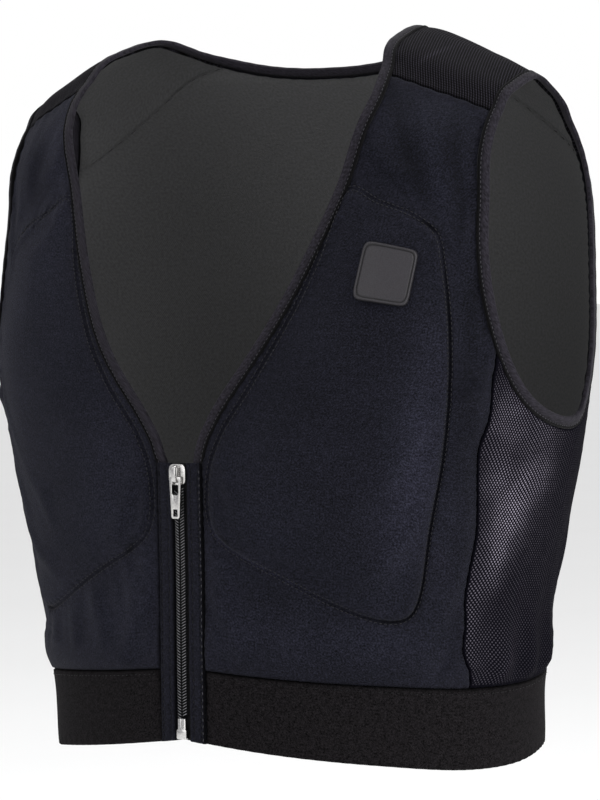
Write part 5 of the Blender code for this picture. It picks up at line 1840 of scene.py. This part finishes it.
class VEST_OT_stage(bpy.types.Operator):
    """Make the pale floor, the soft lights and the camera"""

    bl_idname = "vest.stage"
    bl_label = "Stage"

    def execute(self, context):
        stage = context.scene.vest_stage
        bm = bmesh.new()
        bmesh.ops.create_circle(bm, cap_ends=True, segments=96, radius=stage.floor_radius)
        bmesh.ops.translate(bm, verts=bm.verts[:], vec=(0, 0, CAD_BOX[0][2] - stage.floor_drop))
        floor = finished("floor", bm)
        floor.data.materials.append(finish_of("floor"))
        make_camera()
        make_sky(stage.sky)
        middle = Vector((0, 0, (CAD_BOX[0][2] + CAD_BOX[1][2]) / 2))
        ahead, right = view_directions()
        for name, power, size, place in (
                ("key", stage.key, 1.4, -ahead * 1.3 + right * 2.1 + Vector((0, 0, 0.9))),
                ("fill", stage.fill, 1.8, -ahead * 1.9 - right * 1.6 + Vector((0, 0, 0.6))),
                ("top", stage.top, 1.6, ahead * 0.5 - right * 0.3 + Vector((0, 0, 2.2)))):
            light = bpy.data.lights.new(name, "AREA")
            light.energy = power
            light.shape = "DISK"
            light.size = size
            lamp = bpy.data.objects.new(name, light)
            bpy.context.scene.collection.objects.link(lamp)
            lamp.location = middle + place
            lamp.rotation_euler = (-place).to_track_quat("-Z", "Y").to_euler()
        return {"FINISHED"}


def view_directions():
    """The level directions ahead of the camera and to its right."""
    turn = math.radians(VIEW_TURN)
    return Vector((-math.sin(turn), math.cos(turn), 0)), Vector((math.cos(turn), math.sin(turn), 0))


def make_camera():
    """The camera at the photo's viewing angle."""
    ahead, right = view_directions()
    data = bpy.data.cameras.new("camera")
    data.lens = VIEW_LENS
    data.sensor_width = VIEW_SENSOR
    data.clip_end = 200
    camera = bpy.data.objects.new("camera", data)
    bpy.context.scene.collection.objects.link(camera)
    eye = -ahead * VIEW_DISTANCE + right * VIEW_SHIFT + Vector((0, 0, VIEW_HEIGHT))
    pitch, roll = math.radians(VIEW_PITCH), math.radians(VIEW_ROLL)
    forward = ahead * math.cos(pitch) - Vector((0, 0, 1)) * math.sin(pitch)
    upright = right.cross(forward)
    across = right * math.cos(roll) - upright * math.sin(roll)
    upright = across.cross(forward)
    camera.matrix_world = Matrix((
        (across.x, upright.x, -forward.x, eye.x), (across.y, upright.y, -forward.y, eye.y),
        (across.z, upright.z, -forward.z, eye.z), (0, 0, 0, 1)))
    bpy.context.scene.camera = camera


def make_sky(strength):
    """Soft light all round, seen as plain white."""
    world = bpy.data.worlds.new("studio")
    world.use_nodes = True
    bpy.context.scene.world = world
    tree = world.node_tree
    lit = tree.nodes["Background"]
    lit.inputs["Strength"].default_value = strength
    place = add_node(tree, "ShaderNodeTexCoord")
    height = add_node(tree, "ShaderNodeSeparateXYZ", {0: place.outputs["Generated"]}).outputs[2]
    colour = ramp(tree, maths(tree, "MULTIPLY_ADD", height, 0.5, 0.5),
                  ((0.30, (0.20, 0.20, 0.21)), (0.52, (0.55, 0.55, 0.57)), (0.80, (1.0, 1.0, 1.0))))
    tree.links.new(colour, lit.inputs["Color"])
    seen = add_node(tree, "ShaderNodeBackground", {"Color": (1, 1, 1, 1), "Strength": 1.0})
    path = add_node(tree, "ShaderNodeLightPath")
    mix = add_node(tree, "ShaderNodeMixShader",
                   {0: path.outputs["Is Camera Ray"], 1: lit.outputs[0], 2: seen.outputs[0]})
    tree.links.new(mix.outputs[0], tree.nodes["World Output"].inputs["Surface"])
    bpy.context.scene.view_settings.view_transform = "Standard"


OPERATORS = (
    VEST_OT_front_panels, VEST_OT_chest_pads, VEST_OT_back_panel, VEST_OT_side_meshes, VEST_OT_yokes,
    VEST_OT_hem_band, VEST_OT_bindings, VEST_OT_zip_strips, VEST_OT_zip_coils, VEST_OT_zip_metal,
    VEST_OT_badge, VEST_OT_stitches, VEST_OT_stage,
)


class VEST_PT_panel(bpy.types.Panel):
    """Lists the vest's operators and settings"""

    bl_idname = "VEST_PT_panel"
    bl_label = "Vest"
    bl_space_type = "VIEW_3D"
    bl_region_type = "UI"
    bl_category = "Vest"

    def draw(self, context):
        for operator in OPERATORS:
            self.layout.operator(operator.bl_idname)
        for group in (context.scene.vest_sizes, context.scene.vest_colours, context.scene.vest_stage):
            box = self.layout.box()
            for name in group.__annotations__:
                box.prop(group, name)


GROUPS = {"vest_sizes": VestSizes, "vest_colours": VestColours, "vest_stage": VestStage}


def register():
    for name, group in GROUPS.items():
        bpy.utils.register_class(group)
        setattr(bpy.types.Scene, name, PointerProperty(type=group))
    for cls in (*OPERATORS, VEST_PT_panel):
        bpy.utils.register_class(cls)


def unregister():
    for cls in (VEST_PT_panel, *reversed(OPERATORS)):
        bpy.utils.unregister_class(cls)
    for name, group in GROUPS.items():
        delattr(bpy.types.Scene, name)
        bpy.utils.unregister_class(group)


def main():
    register()
    bpy.ops.vest.front_panels()
    bpy.ops.vest.chest_pads()
    bpy.ops.vest.back_panel()
    bpy.ops.vest.side_meshes()
    bpy.ops.vest.yokes()
    bpy.ops.vest.hem_band()
    bpy.ops.vest.bindings()
    bpy.ops.vest.zip_strips()
    bpy.ops.vest.zip_coils()
    bpy.ops.vest.zip_metal()
    bpy.ops.vest.badge()
    bpy.ops.vest.stitches()
    bpy.ops.vest.stage()


if __name__ == "__main__":
    main()
